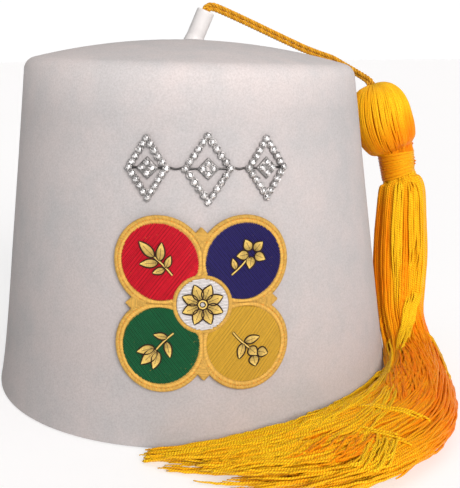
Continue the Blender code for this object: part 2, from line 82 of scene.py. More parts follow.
RIM_HALF_WIDTH = 0.0885
WALL_TOP_HALF_WIDTH = 0.0706
DEPTH_RATIO = 1.10
CROWN_HEIGHT = 0.1379
DOME_RISE = 0.0087
SHOULDER_RADIUS = 0.006
SHOULDER_TURN = 75              # degrees of the shoulder before the dome begins
FLARE = 0.0015
FLARE_HEIGHT = 0.012
TOP_SLOPE = 0.0306
FELT = 0.0025

STEM_RADIUS = 0.0039
STEM_LENGTH = 0.0134
STEM_LEAN = math.radians(24)
STEM_BASE_X = 0.0015
STEM_EDGE = 0.0007              # its top edge is rounded by this
SOCKET_RADIUS = 0.0026
SOCKET_DEPTH = 0.003

NECK_RADIUS = 0.0056
BINDING_RADIUS = 0.0074

EMBLEM = (0.0065, 0.0525)       # its middle: arc from the front, and height
LOBE_OFFSET = 0.0150
LOBE_RADIUS = 0.0165
BARB_REACH = 0.0275
BORDER_WIDTH = 0.0026
CENTRE_RADIUS = 0.0092
HUB_BORDER = 0.0013

TRIM = (0.0090, 0.1005)         # its middle: arc from the front, and height
STRIP_WIDTH = 0.0027
STONES_PER_SIDE = 5
CLUSTER_OFFSET = 0.0019
MOTIFS = (                      # each lozenge's place across, half width and half height
    (-0.0215, 0.0068, 0.0104), (0.0, 0.0080, 0.0116), (0.0215, 0.0068, 0.0104),
)

HEAD_LINE = (                   # x, y, z from the cord's end to the neck's top, and the neck's end
    (0.0824, 0.0150, 0.1262),
    (0.0873, 0.0141, 0.1106),
    (0.0948, 0.0131, 0.0948),
    (0.0962, 0.0122, 0.0838),
)
HEAD_PROFILE = (                # along the head's line, radius
    (0.00, 0.0022), (0.03, 0.0052), (0.11, 0.0088), (0.24, 0.0120), (0.39, 0.0136), (0.54, 0.0139),
    (0.69, 0.0134), (0.80, 0.0123), (0.88, 0.0108), (0.95, 0.0074), (1.00, NECK_RADIUS),
)
LEG_ENDS = {-1: (-0.0010, -0.0002, -0.0014), 1: (0.0010, 0.0, -0.0018)}     # how the legs part at the head
# The part's route, a little fuller under the binding and lower at the ends, with the strands' own roll.
SKIRT_ROUTE = (                 # x, y, z, half width, half thickness, plan angle of the width, roll
    (0.0955, 0.0126, 0.0900, 0.0058, 0.0056, 0, 0),
    (0.0962, 0.0122, 0.0836, 0.0074, 0.0070, 0, 0),
    (0.0969, 0.0116, 0.0788, 0.0104, 0.0094, 0, 0),
    (0.0967, 0.0102, 0.0640, 0.0117, 0.0104, 0, 0),
    (0.0966, 0.0082, 0.0480, 0.0125, 0.0106, 0, 0),
    (0.0960, 0.0048, 0.0340, 0.0117, 0.0104, 0, 0),
    (0.0957, -0.0010, 0.0215, 0.0105, 0.0099, 0, 2),
    (0.0968, -0.0105, 0.0128, 0.0106, 0.0086, 0, 5),
    (0.0972, -0.0240, 0.0090, 0.0113, 0.0080, -4, 9),
    (0.0954, -0.0415, 0.0080, 0.0120, 0.0074, -12, 14),
    (0.0905, -0.0618, 0.0074, 0.0154, 0.0068, -26, 19),
    (0.0805, -0.0838, 0.0068, 0.0200, 0.0062, -40, 23),
    (0.0646, -0.1014, 0.0063, 0.0232, 0.0057, -53, 26),
    (0.0455, -0.1132, 0.0053, 0.0252, 0.0048, -67, 28),
    (0.0240, -0.1176, 0.0041, 0.0230, 0.0037, -80, 30),
    (0.0035, -0.1162, 0.0028, 0.0172, 0.0025, -92, 30),
    (-0.0150, -0.1115, 0.0010, 0.0104, 0.0008, -100, 30),
)
LOCKS = (                       # across, over and radius in the bundle's unit circle
    (0.63, 0.00, 0.37),
    (0.45, 0.45, 0.38),
    (0.00, 0.62, 0.38),
    (-0.45, 0.46, 0.37),
    (-0.63, 0.02, 0.37),
    (-0.46, -0.44, 0.38),
    (0.02, -0.62, 0.37),
    (0.46, -0.45, 0.38),
)
LOCK_END, LOCK_END_SLANT = 0.930, 0.112     # how far along the locks reach, and how much less outer ones do
FLOOR_ROLL = math.radians(28)
LOOPS = ((-0.0034, 0.0004), (0.0030, 0.0004), (0.0046, 0.0008), (0.0060, 0.0005))   # along the neck, out
# Flat bundles and loose strands over the others: along and way round (degrees) at start, middle and end,
# how many, how far they spread along and round at the start and the end, height over the rest, tint.
BUNDLES = (
    (0.060, 107, 0.200, 108, 0.350, 106, 13, 0.004, 11, 10, 0.05, 0.92),
    (0.070, 72, 0.200, 70, 0.340, 66, 13, 0.004, 12, 12, 0.05, 0.70),
    (0.360, 170, 0.480, 162, 0.660, 142, 20, 0.010, 8, 10, 0.08, 0.42),
    (0.520, 178, 0.640, 173, 0.800, 162, 28, 0.020, 10, 12, 0.14, 0.74),
    (0.540, 176, 0.650, 168, 0.820, 152, 24, 0.020, 10, 14, 0.32, 0.92),
    (0.300, 47, 0.440, 87, 0.610, 140, 28, 0.012, 20, 9, 0.05, 0.95),
    (0.728, 98, 0.713, 54, 0.712, 8, 6, 0.006, 10, 6, 0.07, 0.86),
    (0.772, 62, 0.752, 36, 0.748, 6, 5, 0.006, 9, 7, 0.06, 0.80),
    (0.750, 44, 0.780, 20, 0.812, -10, 22, 0.014, 8, 14, 0.07, 0.90),
    (0.440, 156, 0.600, 142, 0.760, 106, 26, 0.030, 12, 20, 0.04, 0.90),
    (0.620, 140, 0.730, 112, 0.860, 90, 22, 0.040, 12, 20, 0.05, 0.90),
    (0.620, 104, 0.720, 74, 0.800, 56, 12, 0.020, 5, 12, 0.04, 0.80),
    (0.470, 104, 0.590, 70, 0.690, 40, 30, 0.030, 24, 24, 0.02, 0.06),
    (0.560, 124, 0.640, 84, 0.710, 50, 20, 0.030, 16, 18, 0.03, 0.10),
    (0.750, 48, 0.785, 38, 0.820, 30, 14, 0.014, 10, 10, 0.04, 0.26),
    (0.780, 66, 0.815, 44, 0.850, 28, 12, 0.018, 8, 12, 0.05, 0.30),
    (0.390, 34, 0.550, 12, 0.660, 2, 6, 0.010, 4, 4, 0.03, 0.66),
    (0.800, 90, 0.860, 62, 0.925, 70, 18, 0.030, 18, 24, 0.05, 0.84),
    (0.820, 30, 0.870, 52, 0.920, 34, 18, 0.030, 16, 22, 0.06, 0.80),
    (0.850, 110, 0.890, 84, 0.950, 96, 14, 0.030, 14, 24, 0.05, 0.88),
)
CORD_ROUTE = (                  # x, y, z from the stem's socket to the tassel's head
    (0.0061, 0.0000, 0.1573),
    (0.0069, 0.0001, 0.1590),
    (0.0083, 0.0003, 0.1601),
    (0.0104, 0.0008, 0.1600),
    (0.0137, 0.0018, 0.1588),
    (0.0177, 0.0034, 0.1571),
    (0.0239, 0.0062, 0.1544),
    (0.0306, 0.0092, 0.1514),
    (0.0375, 0.0124, 0.1483),
    (0.0445, 0.0157, 0.1452),
    (0.0514, 0.0188, 0.1422),
    (0.0583, 0.0215, 0.1397),
    (0.0645, 0.0230, 0.1376),
    (0.0700, 0.0228, 0.1346),
    (0.0746, 0.0209, 0.1321),
    (0.0784, 0.0184, 0.1302),
    (0.0808, 0.0164, 0.1289),
    (0.0820, 0.0153, 0.1272),
)


# -------------------- curves and frames
def around(count, shift=0.0):
    """Even angles round a circle. shift moves them by shares of a step."""
    return 2 * math.pi * (np.arange(count) + shift) / count


def spokes(angle, first, second):
    """Directions at angles from one direction towards another."""
    return np.cos(angle)[..., None] * first + np.sin(angle)[..., None] * second


def crosswise(axis):
    """Two directions square to an axis and to each other."""
    side = unit(np.cross(axis, (0.0, 1.0, 0.0)))
    return side, np.cross(axis, side)


def lengths(lines):
    """How far along its line each point lies."""
    steps = np.linalg.norm(np.diff(lines, axis=-2), axis=-1)
    return np.concatenate([np.zeros_like(steps[..., :1]), np.cumsum(steps, axis=-1)], -1)


def unit(vectors):
    return vectors / np.maximum(np.linalg.norm(vectors, axis=-1, keepdims=True), 1e-12)


def square_to(vectors, line):
    """The part of the vectors that is square to the line, as unit vectors."""
    return unit(vectors - line * (vectors * line).sum(-1, keepdims=True))


def smooth_rows(rows, amounts):
    """Read a table as a Catmull-Rom curve, amounts running from 0 to 1."""
    rows = np.asarray(rows, float)
    spans = len(rows) - 1
    place = np.clip(amounts, 0.0, 1.0) * spans
    first = np.minimum(place.astype(int), spans - 1)
    t = (place - first)[..., None]
    before, start, end, after = (rows[np.clip(first + k, 0, spans)] for k in (-1, 0, 1, 2))
    return 0.5 * (2 * start + (end - before) * t + (2 * before - 5 * start + 4 * end - after) * t ** 2
                  + (3 * start - before - 3 * end + after) * t ** 3)


def smooth_step(amounts, start, end):
    share = np.clip((amounts - start) / (end - start), 0.0, 1.0)
    return share * share * (3 - 2 * share)


def carried(line):
    """Vectors square to each line, carried along it without spinning."""
    high = np.empty_like(line)
    upright = np.abs(line[:, 0, 2]) > 0.9
    first = np.where(upright[:, None], [[1.0, 0.0, 0.0]], [[0.0, 0.0, 1.0]])
    high[:, 0] = square_to(first, line[:, 0])
    for k in range(1, line.shape[1]):
        high[:, k] = square_to(high[:, k - 1], line[:, k])
    return high


def wander(rng, count, stations, waves, reach):
    """Smooth random curves, count x stations."""
    share = np.linspace(0, 1, stations)[None]
    total = np.zeros((count, stations))
    for wave in range(1, waves + 1):
        size = rng.uniform(-1, 1, (count, 1)) / wave ** 0.7
        beat = wave * rng.uniform(0.6, 1.3, (count, 1))
        total += size * np.sin(2 * math.pi * (beat * share + rng.random((count, 1))))
    return reach * total


THREAD_SHIFT = 7.3              # millimetres that the twist may start further on, thread by thread
GOLDEN_SHARE = 0.618034


class Weave:
    """Gathers tubes and sheets into one mesh, with a thread map (mm along, turns round) and a tint."""

    def __init__(self):
        self.points, self.tints, self.faces, self.maps, self.count = [], [], [], [], 0

    def add(self, points, tints, faces, maps):
        points = points.reshape(-1, 3)
        self.points.append(points)
        self.tints.append(np.broadcast_to(tints, len(points)))
        for face, face_map in zip(faces, maps):
            self.faces.append(face + self.count)
            self.maps.append(face_map)
        self.count += len(points)

    def tubes(self, lines, radii, tints, sides=6, tops=None, flat=1.0):
        """Closed tubes along lines x stations x 3 points. tops gives the direction that flat squashes."""
        lines = np.asarray(lines, float)
        count, stations = lines.shape[:2]
        along = lengths(lines)[..., None] * 1000
        line = unit(np.gradient(lines, axis=1))
        high = carried(line) if tops is None else square_to(tops, line)
        wide = np.cross(line, high)
        reach = np.broadcast_to(radii, (count, stations))[..., None]
        ring = (lines[:, :, None] + (reach * np.cos(around(sides)) * flat)[..., None] * high[:, :, None]
                + (reach * np.sin(around(sides)))[..., None] * wide[:, :, None])
        index = np.arange(count * stations * sides).reshape(count, stations, sides)
        after = np.roll(index, -1, axis=2)
        quads = np.stack([index[:, :-1], after[:, :-1], after[:, 1:], index[:, 1:]], -1).reshape(-1, 4)
        caps = np.concatenate([index[:, 0, ::-1], index[:, -1]])
        shifted = along + THREAD_SHIFT * (GOLDEN_SHARE * np.arange(count)[:, None, None] % 1.0)
        quad_map = self.face_map(*(np.broadcast_to(part, (count, stations - 1, sides))
                                   for part in (shifted[:, :-1], shifted[:, 1:], np.arange(sides) / sides)),
                                 1 / sides)
        each = np.asarray(tints, float)
        if each.ndim < 2:
            point_tints = np.repeat(np.broadcast_to(each, count), stations * sides)
        else:
            point_tints = np.repeat(each.reshape(-1), sides)
        self.add(ring, point_tints, (quads, caps), (quad_map, np.zeros((*caps.shape, 2))))

    @staticmethod
    def face_map(low, high, left, step):
        """The thread map of four-sided faces: along from low to high, round from left by a step."""
        corners = ((low, left), (low, left + step), (high, left + step), (high, left))
        return np.stack([np.stack(corner, -1) for corner in corners], -2).reshape(-1, 4, 2)

    def sheet(self, grid, tints=0.5, loop=False, first=None, last=None):
        """A tube's surface on rows x columns x 3 points, anticlockwise seen from outside as both grow.

        loop joins the last row to the first. first and last are points that close the ends.
        """
        rows, columns = grid.shape[:2]
        index = np.arange(rows * columns).reshape(rows, columns)
        mapped = grid
        if loop:
            index, mapped = (np.concatenate([part, part[:1]]) for part in (index, grid))
        after = np.roll(index, -1, axis=1)
        quads = np.stack([index[:-1], after[:-1], after[1:], index[1:]], -1).reshape(-1, 4)
        along = lengths(mapped.swapaxes(0, 1)).T * 1000
        left = np.broadcast_to(np.arange(columns) * (1 / columns), (len(index) - 1, columns))
        face_map = self.face_map(along[:-1], along[1:], left, 1 / columns)
        faces, maps, points = [quads], [face_map], [grid.reshape(-1, 3)]
        for tip, row, order in ((first, index[0], (2, 1, 0)), (last, index[-1], (0, 1, 2))):
            if tip is None:
                continue
            spot = rows * columns + len(points) - 1
            fan = np.stack([row, np.roll(row, -1), np.full(columns, spot)], -1)[:, order]
            points.append(np.asarray(tip, float)[None])
            faces.append(fan)
            maps.append(np.zeros((*fan.shape, 2)))
        self.add(np.concatenate(points), tints, faces, maps)

    def make(self, name, material, slot=None, smooth=True):
        """The mesh as a piece that rides on the part's one body."""
        mesh = bpy.data.meshes.new(name)
        mesh.vertices.add(self.count)
        mesh.vertices.foreach_set("co", np.concatenate(self.points).astype(np.float32).ravel())
        corners = np.concatenate([face.ravel() for face in self.faces])
        sizes = np.concatenate([np.full(len(face), face.shape[1]) for face in self.faces])
        mesh.loops.add(len(corners))
        mesh.loops.foreach_set("vertex_index", corners.astype(np.int32))
        mesh.polygons.add(len(sizes))
        mesh.polygons.foreach_set("loop_start", (np.cumsum(sizes) - sizes).astype(np.int32))
        mesh.update(calc_edges=True)
        threads = mesh.uv_layers.new(name="thread")
        threads.data.foreach_set("uv", np.concatenate([m.reshape(-1) for m in self.maps]).astype(np.float32))
        tint = mesh.attributes.new("tint", "FLOAT", "POINT")
        tint.data.foreach_set("value", np.concatenate(self.tints).astype(np.float32))
        if smooth:
            mesh.shade_smooth()
        mesh.materials.append(material)
        piece = bpy.data.objects.new(name, mesh)
        bpy.context.scene.collection.objects.link(piece)
        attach(piece, "root")
        return piece


# -------------------- shapes repeated from the part
def wall_half_width(height):
    straight = RIM_HALF_WIDTH - FLARE
    lean = (WALL_TOP_HALF_WIDTH - straight) * height / CROWN_HEIGHT
    return straight + lean + FLARE * np.exp(-height / FLARE_HEIGHT)


def tilted(points):
    """Lower points of the crown towards the tassel's side, more the higher they are."""
    points = np.array(points, float)
    points[..., 2] -= TOP_SLOPE * points[..., 0] * points[..., 2] / CROWN_HEIGHT
    return points


def wall_points(arc, height, out):
    """Points at an arc length from the front, a height, and a distance outside the felt."""
    arc, height, out = np.broadcast_arrays(*(np.asarray(v, float) for v in (arc, height, out)))
    half = wall_half_width(height)
    angle = arc / half
    surface = np.stack([half * np.sin(angle), -DEPTH_RATIO * half * np.cos(angle), height], -1)
    return AXIS + tilted(surface) + wall_normals(arc, height) * out[..., None]


def wall_normals(arc, height):
    angle = arc / wall_half_width(height)
    slope = (WALL_TOP_HALF_WIDTH - RIM_HALF_WIDTH + FLARE) / CROWN_HEIGHT
    return unit(np.stack([DEPTH_RATIO * np.sin(angle), -np.cos(angle), np.full_like(angle, -slope)], -1))


def dome_numbers():
    """Half width and height where the dome begins."""
    edge_height = CROWN_HEIGHT - SHOULDER_RADIUS
    inner = wall_half_width(edge_height) - SHOULDER_RADIUS
    angle = math.radians(SHOULDER_TURN)
    return inner + SHOULDER_RADIUS * math.cos(angle), edge_height + SHOULDER_RADIUS * math.sin(angle)


def dome_height(x, y):
    """Height of the crown's outer face over a point of its top, from the crown's axis."""
    dome_edge, dome_base = dome_numbers()
    share = np.hypot(x, y / DEPTH_RATIO) / dome_edge
    height = dome_base + DOME_RISE * (1 - share * share)
    return height - TOP_SLOPE * x * height / CROWN_HEIGHT


def skirt_points(along, across, over):
    """Points of the skirt: along the route, across and over inside the bundle's unit circle."""
    row = smooth_rows(SKIRT_ROUTE, along)
    ahead = smooth_rows(SKIRT_ROUTE, np.minimum(along + 0.002, 1.0))
    behind = smooth_rows(SKIRT_ROUTE, np.maximum(along - 0.002, 0.0))
    line = unit((ahead - behind)[..., :3])
    angle, turn = np.radians(row[..., 5]), np.radians(row[..., 6])
    side = square_to(np.stack([np.cos(angle), np.sin(angle), np.zeros_like(angle)], -1), line)
    top = np.cross(line, side)
    wide = across * np.cos(turn) - over * np.sin(turn)
    high = across * np.sin(turn) + over * np.cos(turn)
    return (AXIS + row[..., :3] + side * (wide * row[..., 3])[..., None]
            + top * (high * row[..., 4])[..., None])


def head_points(along, radius, angle):
    """Points round the head's bent line. along: 0 at the cord, 1 at the neck's top, 2 at its end."""
    places = np.array([0.0, 0.5, 1.0, 2.0])
    share = np.interp(along, places, np.arange(4) / 3)
    middle = smooth_rows(HEAD_LINE, share)
    axis = unit(smooth_rows(HEAD_LINE, share + 0.01) - smooth_rows(HEAD_LINE, share - 0.01))
    return AXIS + middle + radius[..., None] * spokes(angle, *crosswise(axis))


# -------------------- materials
def put(tree, kind, sockets=None, **settings):
    """Add one node. sockets gives values or other nodes' outputs by the input's name or number."""
    made = tree.nodes.new(kind)
    for name, value in settings.items():
        setattr(made, name, value)
    for name, value in (sockets or {}).items():
        if isinstance(value, bpy.types.NodeSocket):
            tree.links.new(value, made.inputs[name])
        else:
            made.inputs[name].default_value = value
    return made


def calc(tree, operation, *values):
    """One Math node's output."""
    return put(tree, "ShaderNodeMath", dict(enumerate(values)), operation=operation).outputs[0]


def times(tree, first, second):
    return calc(tree, "MULTIPLY", first, second)


def summed(tree, *parts):
    """Two values added, each with its share."""
    return calc(tree, "ADD", *[times(tree, *part) for part in parts])


def mapped(tree, value, low, high, first=0.0, last=1.0, **settings):
    """A value's place between low and high, read off between first and last."""
    sockets = {"Value": value, "From Min": low, "From Max": high, "To Min": first, "To Max": last}
    return put(tree, "ShaderNodeMapRange", sockets, **settings).outputs["Result"]


def mixed(tree, factor, first, second, blend="MIX"):
    """One colour Mix node's output."""
    sockets = {"Factor": factor, 6: first, 7: second}
    return put(tree, "ShaderNodeMix", sockets, data_type="RGBA", blend_type=blend).outputs[2]


def dyed(tree, first, second):
    """One colour laid over another as dye is."""
    return mixed(tree, 1.0, first, second, "MULTIPLY")


def full(colour):
    return (*colour[:3], 1.0)


def shaded(colour, amount):
    """A colour made lighter or darker."""
    return tuple(min(channel * amount, 1.0) for channel in colour[:3])


def finish(name, roughness, **sockets):
    """A new material and its node tree. Constant values are set straight on its shader."""
    material = bpy.data.materials.new(name)
    material.use_nodes = True
    inputs = material.node_tree.nodes["Principled BSDF"].inputs
    inputs["Roughness"].default_value = roughness
    for socket, value in sockets.items():
        inputs[socket.replace("_", " ")].default_value = value
    return material, material.node_tree


def paint(tree, colour, height=None, strength=0.0, distance=0.0):
    """Give the shader its colour, and its bump where there is a height."""
    inputs = tree.nodes["Principled BSDF"].inputs
    tree.links.new(colour, inputs["Base Color"])
    if height:
        bump = put(tree, "ShaderNodeBump", {"Height": height, "Strength": strength, "Distance": distance})
        tree.links.new(bump.outputs["Normal"], inputs["Normal"])


def coordinates(tree, kind="Object"):
    """Where a point is, in the part's own space unless another kind is named."""
    return put(tree, "ShaderNodeTexCoord").outputs[kind]


def split(tree, vector):
    return put(tree, "ShaderNodeSeparateXYZ", {"Vector": vector}).outputs


def noise(tree, scale, detail=2.0, roughness=0.5):
    sockets = {"Vector": coordinates(tree), "Scale": scale, "Detail": detail, "Roughness": roughness}
    return put(tree, "ShaderNodeTexNoise", sockets).outputs["Fac"]


def ramp(tree, value, *stops):
    """A colour ramp's output. stops: (place, colour)."""
    node = put(tree, "ShaderNodeValToRGB", {"Fac": value})
    while len(node.color_ramp.elements) < len(stops):
        node.color_ramp.elements.new(0.5)
    for element, (place, colour) in zip(node.color_ramp.elements, stops):
        element.position, element.color = place, full(colour)
    return node.outputs["Color"]


def thread_map(tree):
    """Millimetres along a thread, and turns round it."""
    return split(tree, put(tree, "ShaderNodeUVMap", uv_map="thread").outputs["UV"])[:2]


def ply_height(tree, pitch, plies=2, loose=0.0):
    """How high a twisted yarn stands: 1 on a ply's crest, 0 in the groove. pitch is a ply's turn in mm."""
    along, round_it = thread_map(tree)
    if loose:
        along = calc(tree, "MULTIPLY_ADD", noise(tree, 650.0, 1.0), loose, along)
    phase = calc(tree, "MULTIPLY_ADD", along, math.pi / pitch * plies, times(tree, round_it, math.pi * plies))
    return calc(tree, "ABSOLUTE", calc(tree, "SINE", phase))


def tint_value(tree):
    return put(tree, "ShaderNodeAttribute", attribute_name="tint").outputs["Fac"]


def yarn_finish(name, deep, middle, bright, pitch=2.1, roughness=0.40, bump=1.0, plies=2, groove=0.54,
                loose=0.0):
    """Lustrous twisted yarn in its own tint, bright on its crests, with painted shade of a deeper colour in
    its grooves.
    """
    material, tree = finish(name, roughness, Specular_IOR_Level=0.32, Specular_Tint=(1.0, 0.68, 0.12, 1.0))
    crest = ply_height(tree, pitch, plies, loose)
    amount = summed(tree, (tint_value(tree), 0.75), (noise(tree, 150.0, 3.0), 0.25))
    body = ramp(tree, amount, (0.10, deep), (0.45, middle), (0.82, bright))
    # Painted shade in the grooves between the plies, warmed towards orange.
    dark = dyed(tree, body, full((min(groove * 1.32, 1.0), groove * 0.70, groove * 0.30)))
    edge = mapped(tree, crest, 0.10, 0.78)
    # The deeper a strand's tint, the less painted shade its grooves get.
    smooth = calc(tree, "MULTIPLY_ADD", tint_value(tree), -1.7, 0.90)
    colour = mixed(tree, calc(tree, "MAXIMUM", edge, smooth), dark, body)
    depth = calc(tree, "MULTIPLY_ADD", tint_value(tree), 0.6, 0.4)
    paint(tree, colour, summed(tree, (crest, depth), (noise(tree, 4200.0), 0.3)), bump, 0.00022)
    return material


def felt_finish(settings):
    """White wool felt: matt, faintly mottled warm and cool, with a short fibrous nap; painted shade darkens
    it low down on the left, and a painted highlight lightens the shoulder and dome.
    """
    material, tree = finish("wool_felt", 0.95, Specular_IOR_Level=0.10)
    mottling = summed(tree, (noise(tree, 26.0, 3.0, 0.55), 0.6), (noise(tree, 95.0, 4.0, 0.6), 0.4))
    base = ramp(tree, mottling, (0.40, shaded(settings.cool, 0.99)), (0.60, shaded(settings.warm, 1.025)))
    nap = ramp(tree, noise(tree, 1500.0, 4.0, 0.7), (0.32, (0.85, 0.845, 0.84)), (0.62, (1.02, 1.02, 1.02)))
    across, _, up = split(tree, coordinates(tree))
    # Painted shade: darker low down towards the rim, and more so towards the left side.
    low, side = mapped(tree, up, 0.10, 0.03), mapped(tree, across, 0.075, -0.04, 0.15)
    painted_shade_low_left = mixed(tree, times(tree, low, side), full((1, 1, 1)), full((0.855, 0.845, 0.84)))
    # Painted highlight: lighter from high on the wall over the shoulder and the dome.
    top = ramp(tree, times(tree, up, 6.0), (0.71, (1, 1, 1)), (0.80, (1.20, 1.195, 1.19)),
               (0.88, (1.12, 1.115, 1.11)))
    height = summed(tree, (noise(tree, 2600.0, 3.0, 0.7), 0.35), (noise(tree, 240.0, 3.0), 0.9))
    paint(tree, dyed(tree, dyed(tree, dyed(tree, base, nap), painted_shade_low_left), top), height, 0.5, 0.0005)
    return material


def stem_finish(settings):
    """Smooth white stem with a slight sheen and faint marks along it."""
    material, tree = finish("stem_white", 0.45, Specular_IOR_Level=0.4, Coat_Weight=0.08, Coat_Roughness=0.35)
    cloud = noise(tree, 300.0, 3.0)
    colour = ramp(tree, cloud, (0.3, shaded(settings.colour, 0.94)), (0.65, settings.colour))
    paint(tree, colour, noise(tree, 1400.0, 3.0), 0.15, 0.0002)
    return material


def thread_finish(name, colour, spread=0.35):
    """Embroidery thread: fine fibres along it, each row a little lighter or darker, with painted shade in the
    grooves between its plies.
    """
    material, tree = finish(name, 0.42, Specular_IOR_Level=0.40,
                            Specular_Tint=full(shaded([0.4 + 0.6 * c for c in colour], 1.0)))
    row = summed(tree, (tint_value(tree), 0.7), (noise(tree, 900.0), 0.3))
    low, high = shaded(colour, 1 - spread), shaded(colour, 1 + spread)
    body = ramp(tree, row, (0.15, low), (0.5, colour), (0.85, high))
    crest = ply_height(tree, 0.9)
    # Painted shade in the grooves between the thread's plies.
    groove = dyed(tree, body, full((0.72, 0.70, 0.70)))
    paint(tree, mixed(tree, crest, groove, body), crest, 0.35, 0.0001)
    return material


def twill_finish(colour):
    """Cream cloth with a diagonal weave."""
    material, tree = finish("backing_twill", 0.85, Sheen_Weight=0.1)
    weave = put(tree, "ShaderNodeTexWave", {"Vector": coordinates(tree), "Scale": 900.0, "Distortion": 1.2},
                wave_type="BANDS", bands_direction="DIAGONAL").outputs["Fac"]
    paint(tree, ramp(tree, weave, (0.2, shaded(colour, 0.72)), (0.7, colour)), weave, 0.5, 0.0002)
    return material


def metal_finish(name, colour, roughness):
    """Silvered metal with a fine tarnish."""
    material, tree = finish(name, roughness, Metallic=0.9)
    tarnish = summed(tree, (noise(tree, 2200.0, 3.0), 0.45), (tint_value(tree), 0.55))
    colour = ramp(tree, tarnish, (0.25, shaded(colour, 0.45)), (0.6, colour))
    paint(tree, colour, noise(tree, 3300.0), 0.2, 0.0001)
    return material


def stone_finish(colour):
    """Foiled cut glass, sharp and bright: each facet is painted its own grey, from dark to bright, as a
    painted reflection.
    """
    material, tree = finish("cut_glass", 0.10, Metallic=0.55, Coat_Weight=0.6, Coat_Roughness=0.04)
    # Painted reflections: each facet's place in the thread map picks a grey from near black to brighter than
    # the glass.
    painted_facet_glints = summed(tree, (thread_map(tree)[0], 0.85), (noise(tree, 1800.0, 1.0), 0.15))
    paint(tree, ramp(tree, painted_facet_glints, *[(place, shaded(colour, amount)) for place, amount in
                                     ((0.15, 0.16), (0.5, 0.62), (0.85, 1.4))]))
    return material


# -------------------- what a user would change
def colour(name, description, *default):
    return FloatVectorProperty(name=name, description=description, subtype="COLOR", size=3, min=0, max=1,
                               default=default)


def size(name, description, default):
    return FloatProperty(name=name, description=description, default=default, unit="LENGTH")


def turning(name, description, default):
    return FloatProperty(name=name, description=description, default=default, subtype="ANGLE")


def strength(name, description, default):
    return FloatProperty(name=name, description=description, default=default)


def number(name, description, default, least, most):
    return IntProperty(name=name, description=description, default=default, min=least, max=most)


class FeltSettings(bpy.types.PropertyGroup):
    """The crown's felt."""
    cool: colour("Cool white", "The felt's cooler mottling", 0.478, 0.470, 0.471)
    warm: colour("Warm white", "The felt's warmer mottling", 0.520, 0.487, 0.480)
    sides: number("Sides", "Columns of faces round the crown", 176, 48, 400)
    waviness: size("Waviness", "How far the hand-shaped felt strays from true", 0.00012)


class StemSettings(bpy.types.PropertyGroup):
    """The stem on the crown's top."""
    colour: colour("Stem white", "The stem's colour", 0.74, 0.74, 0.73)
    sides: number("Sides", "Faces round the stem", 48, 12, 96)


class CordSettings(bpy.types.PropertyGroup):
    """The doubled twisted cord."""
    deep: colour("Deep gold", "Colour between the plies", 0.52, 0.17, 0.008)
    bright: colour("Bright gold", "Colour on the plies", 0.98, 0.55, 0.045)
    ply_radius: size("Ply radius", "Radius of one ply", 0.00048)
    twist: size("Twist", "Length of one full turn of a leg's plies", 0.0046)


class YarnSettings(bpy.types.PropertyGroup):
    """The tassel's yarn."""
    deep: colour("Deep orange", "Colour of the shaded strands", 0.87, 0.206, 0.003)
    middle: colour("Gold", "Colour of most strands", 0.94, 0.414, 0.007)
    bright: colour("Yellow", "Colour of the brightest strands", 0.98, 0.655, 0.018)
    strand_radius: size("Strand radius", "Radius of one strand of yarn", 0.00048)
    outer: number("Outer strands", "Strands on each lock's open side", 22, 4, 40)
    inner: number("Inner strands", "Strands inside each lock", 7, 0, 40)
    fan: number("Fan strands", "Strands that come up from inside on the floor", 150, 0, 200)
    head: number("Head strands", "Strands over the tassel's head", 126, 20, 160)
    seed: IntProperty(name="Seed", description="Start of the random draws", default=7)


class EmblemSettings(bpy.types.PropertyGroup):
    """The embroidered emblem."""
    gold: colour("Border gold", "Satin border", 0.65, 0.395, 0.084)
    red: colour("Red", "Red field", 0.52, 0.008, 0.022)
    navy: colour("Navy", "Navy field", 0.018, 0.014, 0.10)
    yellow: colour("Gold", "Gold field", 0.56, 0.34, 0.032)
    green: colour("Green", "Green field", 0.003, 0.085, 0.028)
    white: colour("White", "Centre", 0.68, 0.67, 0.66)
    dark: colour("Outline", "Outline thread", 0.030, 0.014, 0.008)
    motif: colour("Motif gold", "Leaves and flowers", 0.74, 0.53, 0.145)
    orange: colour("Dashes", "Small stitches in the border", 0.72, 0.24, 0.015)
    cloth: colour("Backing", "Backing cloth", 0.70, 0.58, 0.36)
    row_pitch: size("Row pitch", "Distance between rows of stitching", 0.00052)


class TrimSettings(bpy.types.PropertyGroup):
    """The rows of stones."""
    silver: colour("Silver", "Cups and strips", 0.60, 0.59, 0.58)
    glass: colour("Stone", "Cut stones", 0.76, 0.75, 0.74)
    stone_radius: size("Stone radius", "Radius of a cut stone", 0.00122)


class StageSettings(bpy.types.PropertyGroup):
    """Camera, floor and studio light."""
    camera_place: FloatVectorProperty(name="Camera", description="Camera's place from the crown's axis",
                                      subtype="TRANSLATION", size=3, default=(0.0166, -0.3888, 0.1400))
    camera_pitch: turning("Pitch", "How far the camera looks down", 0.2154)
    camera_roll: turning("Roll", "Camera's roll", -0.007)
    lens: strength("Lens", "Focal length in millimetres over a 36 mm long side", 63.96)
    floor: colour("Floor", "Pale floor", 0.54, 0.54, 0.54)
    floor_glow: strength("Floor glow", "Light of the floor's own, as on a light table", 0.51)
    key: strength("Key light", "Brightness of the large soft front light", 0.99)
    key_softness: turning("Key softness", "How wide the front light is seen", math.radians(30))
    key_turn: turning("Key turn", "How far to the right the front light stands", math.radians(19))
    key_rise: turning("Key rise", "How high the front light stands", math.radians(24))
    key_colour: colour("Key colour", "Colour of the front light", 1.0, 0.925, 0.912)
    sky: strength("Sky", "Brightness of the studio overhead", 1.0)
    sky_low: strength("Low sky", "Brightness of the studio's sides", 0.03)


# -------------------- stage
FLOOR_RINGS = np.array([20.0, 5.0, 1.5, 0.5, 0.15, 0.02])
FLOOR_MIDDLE = np.array([0.0, 0.0, -0.0004])    # just under the rim
HORIZON = 1.02                                  # brightness of the studio where the floor meets it


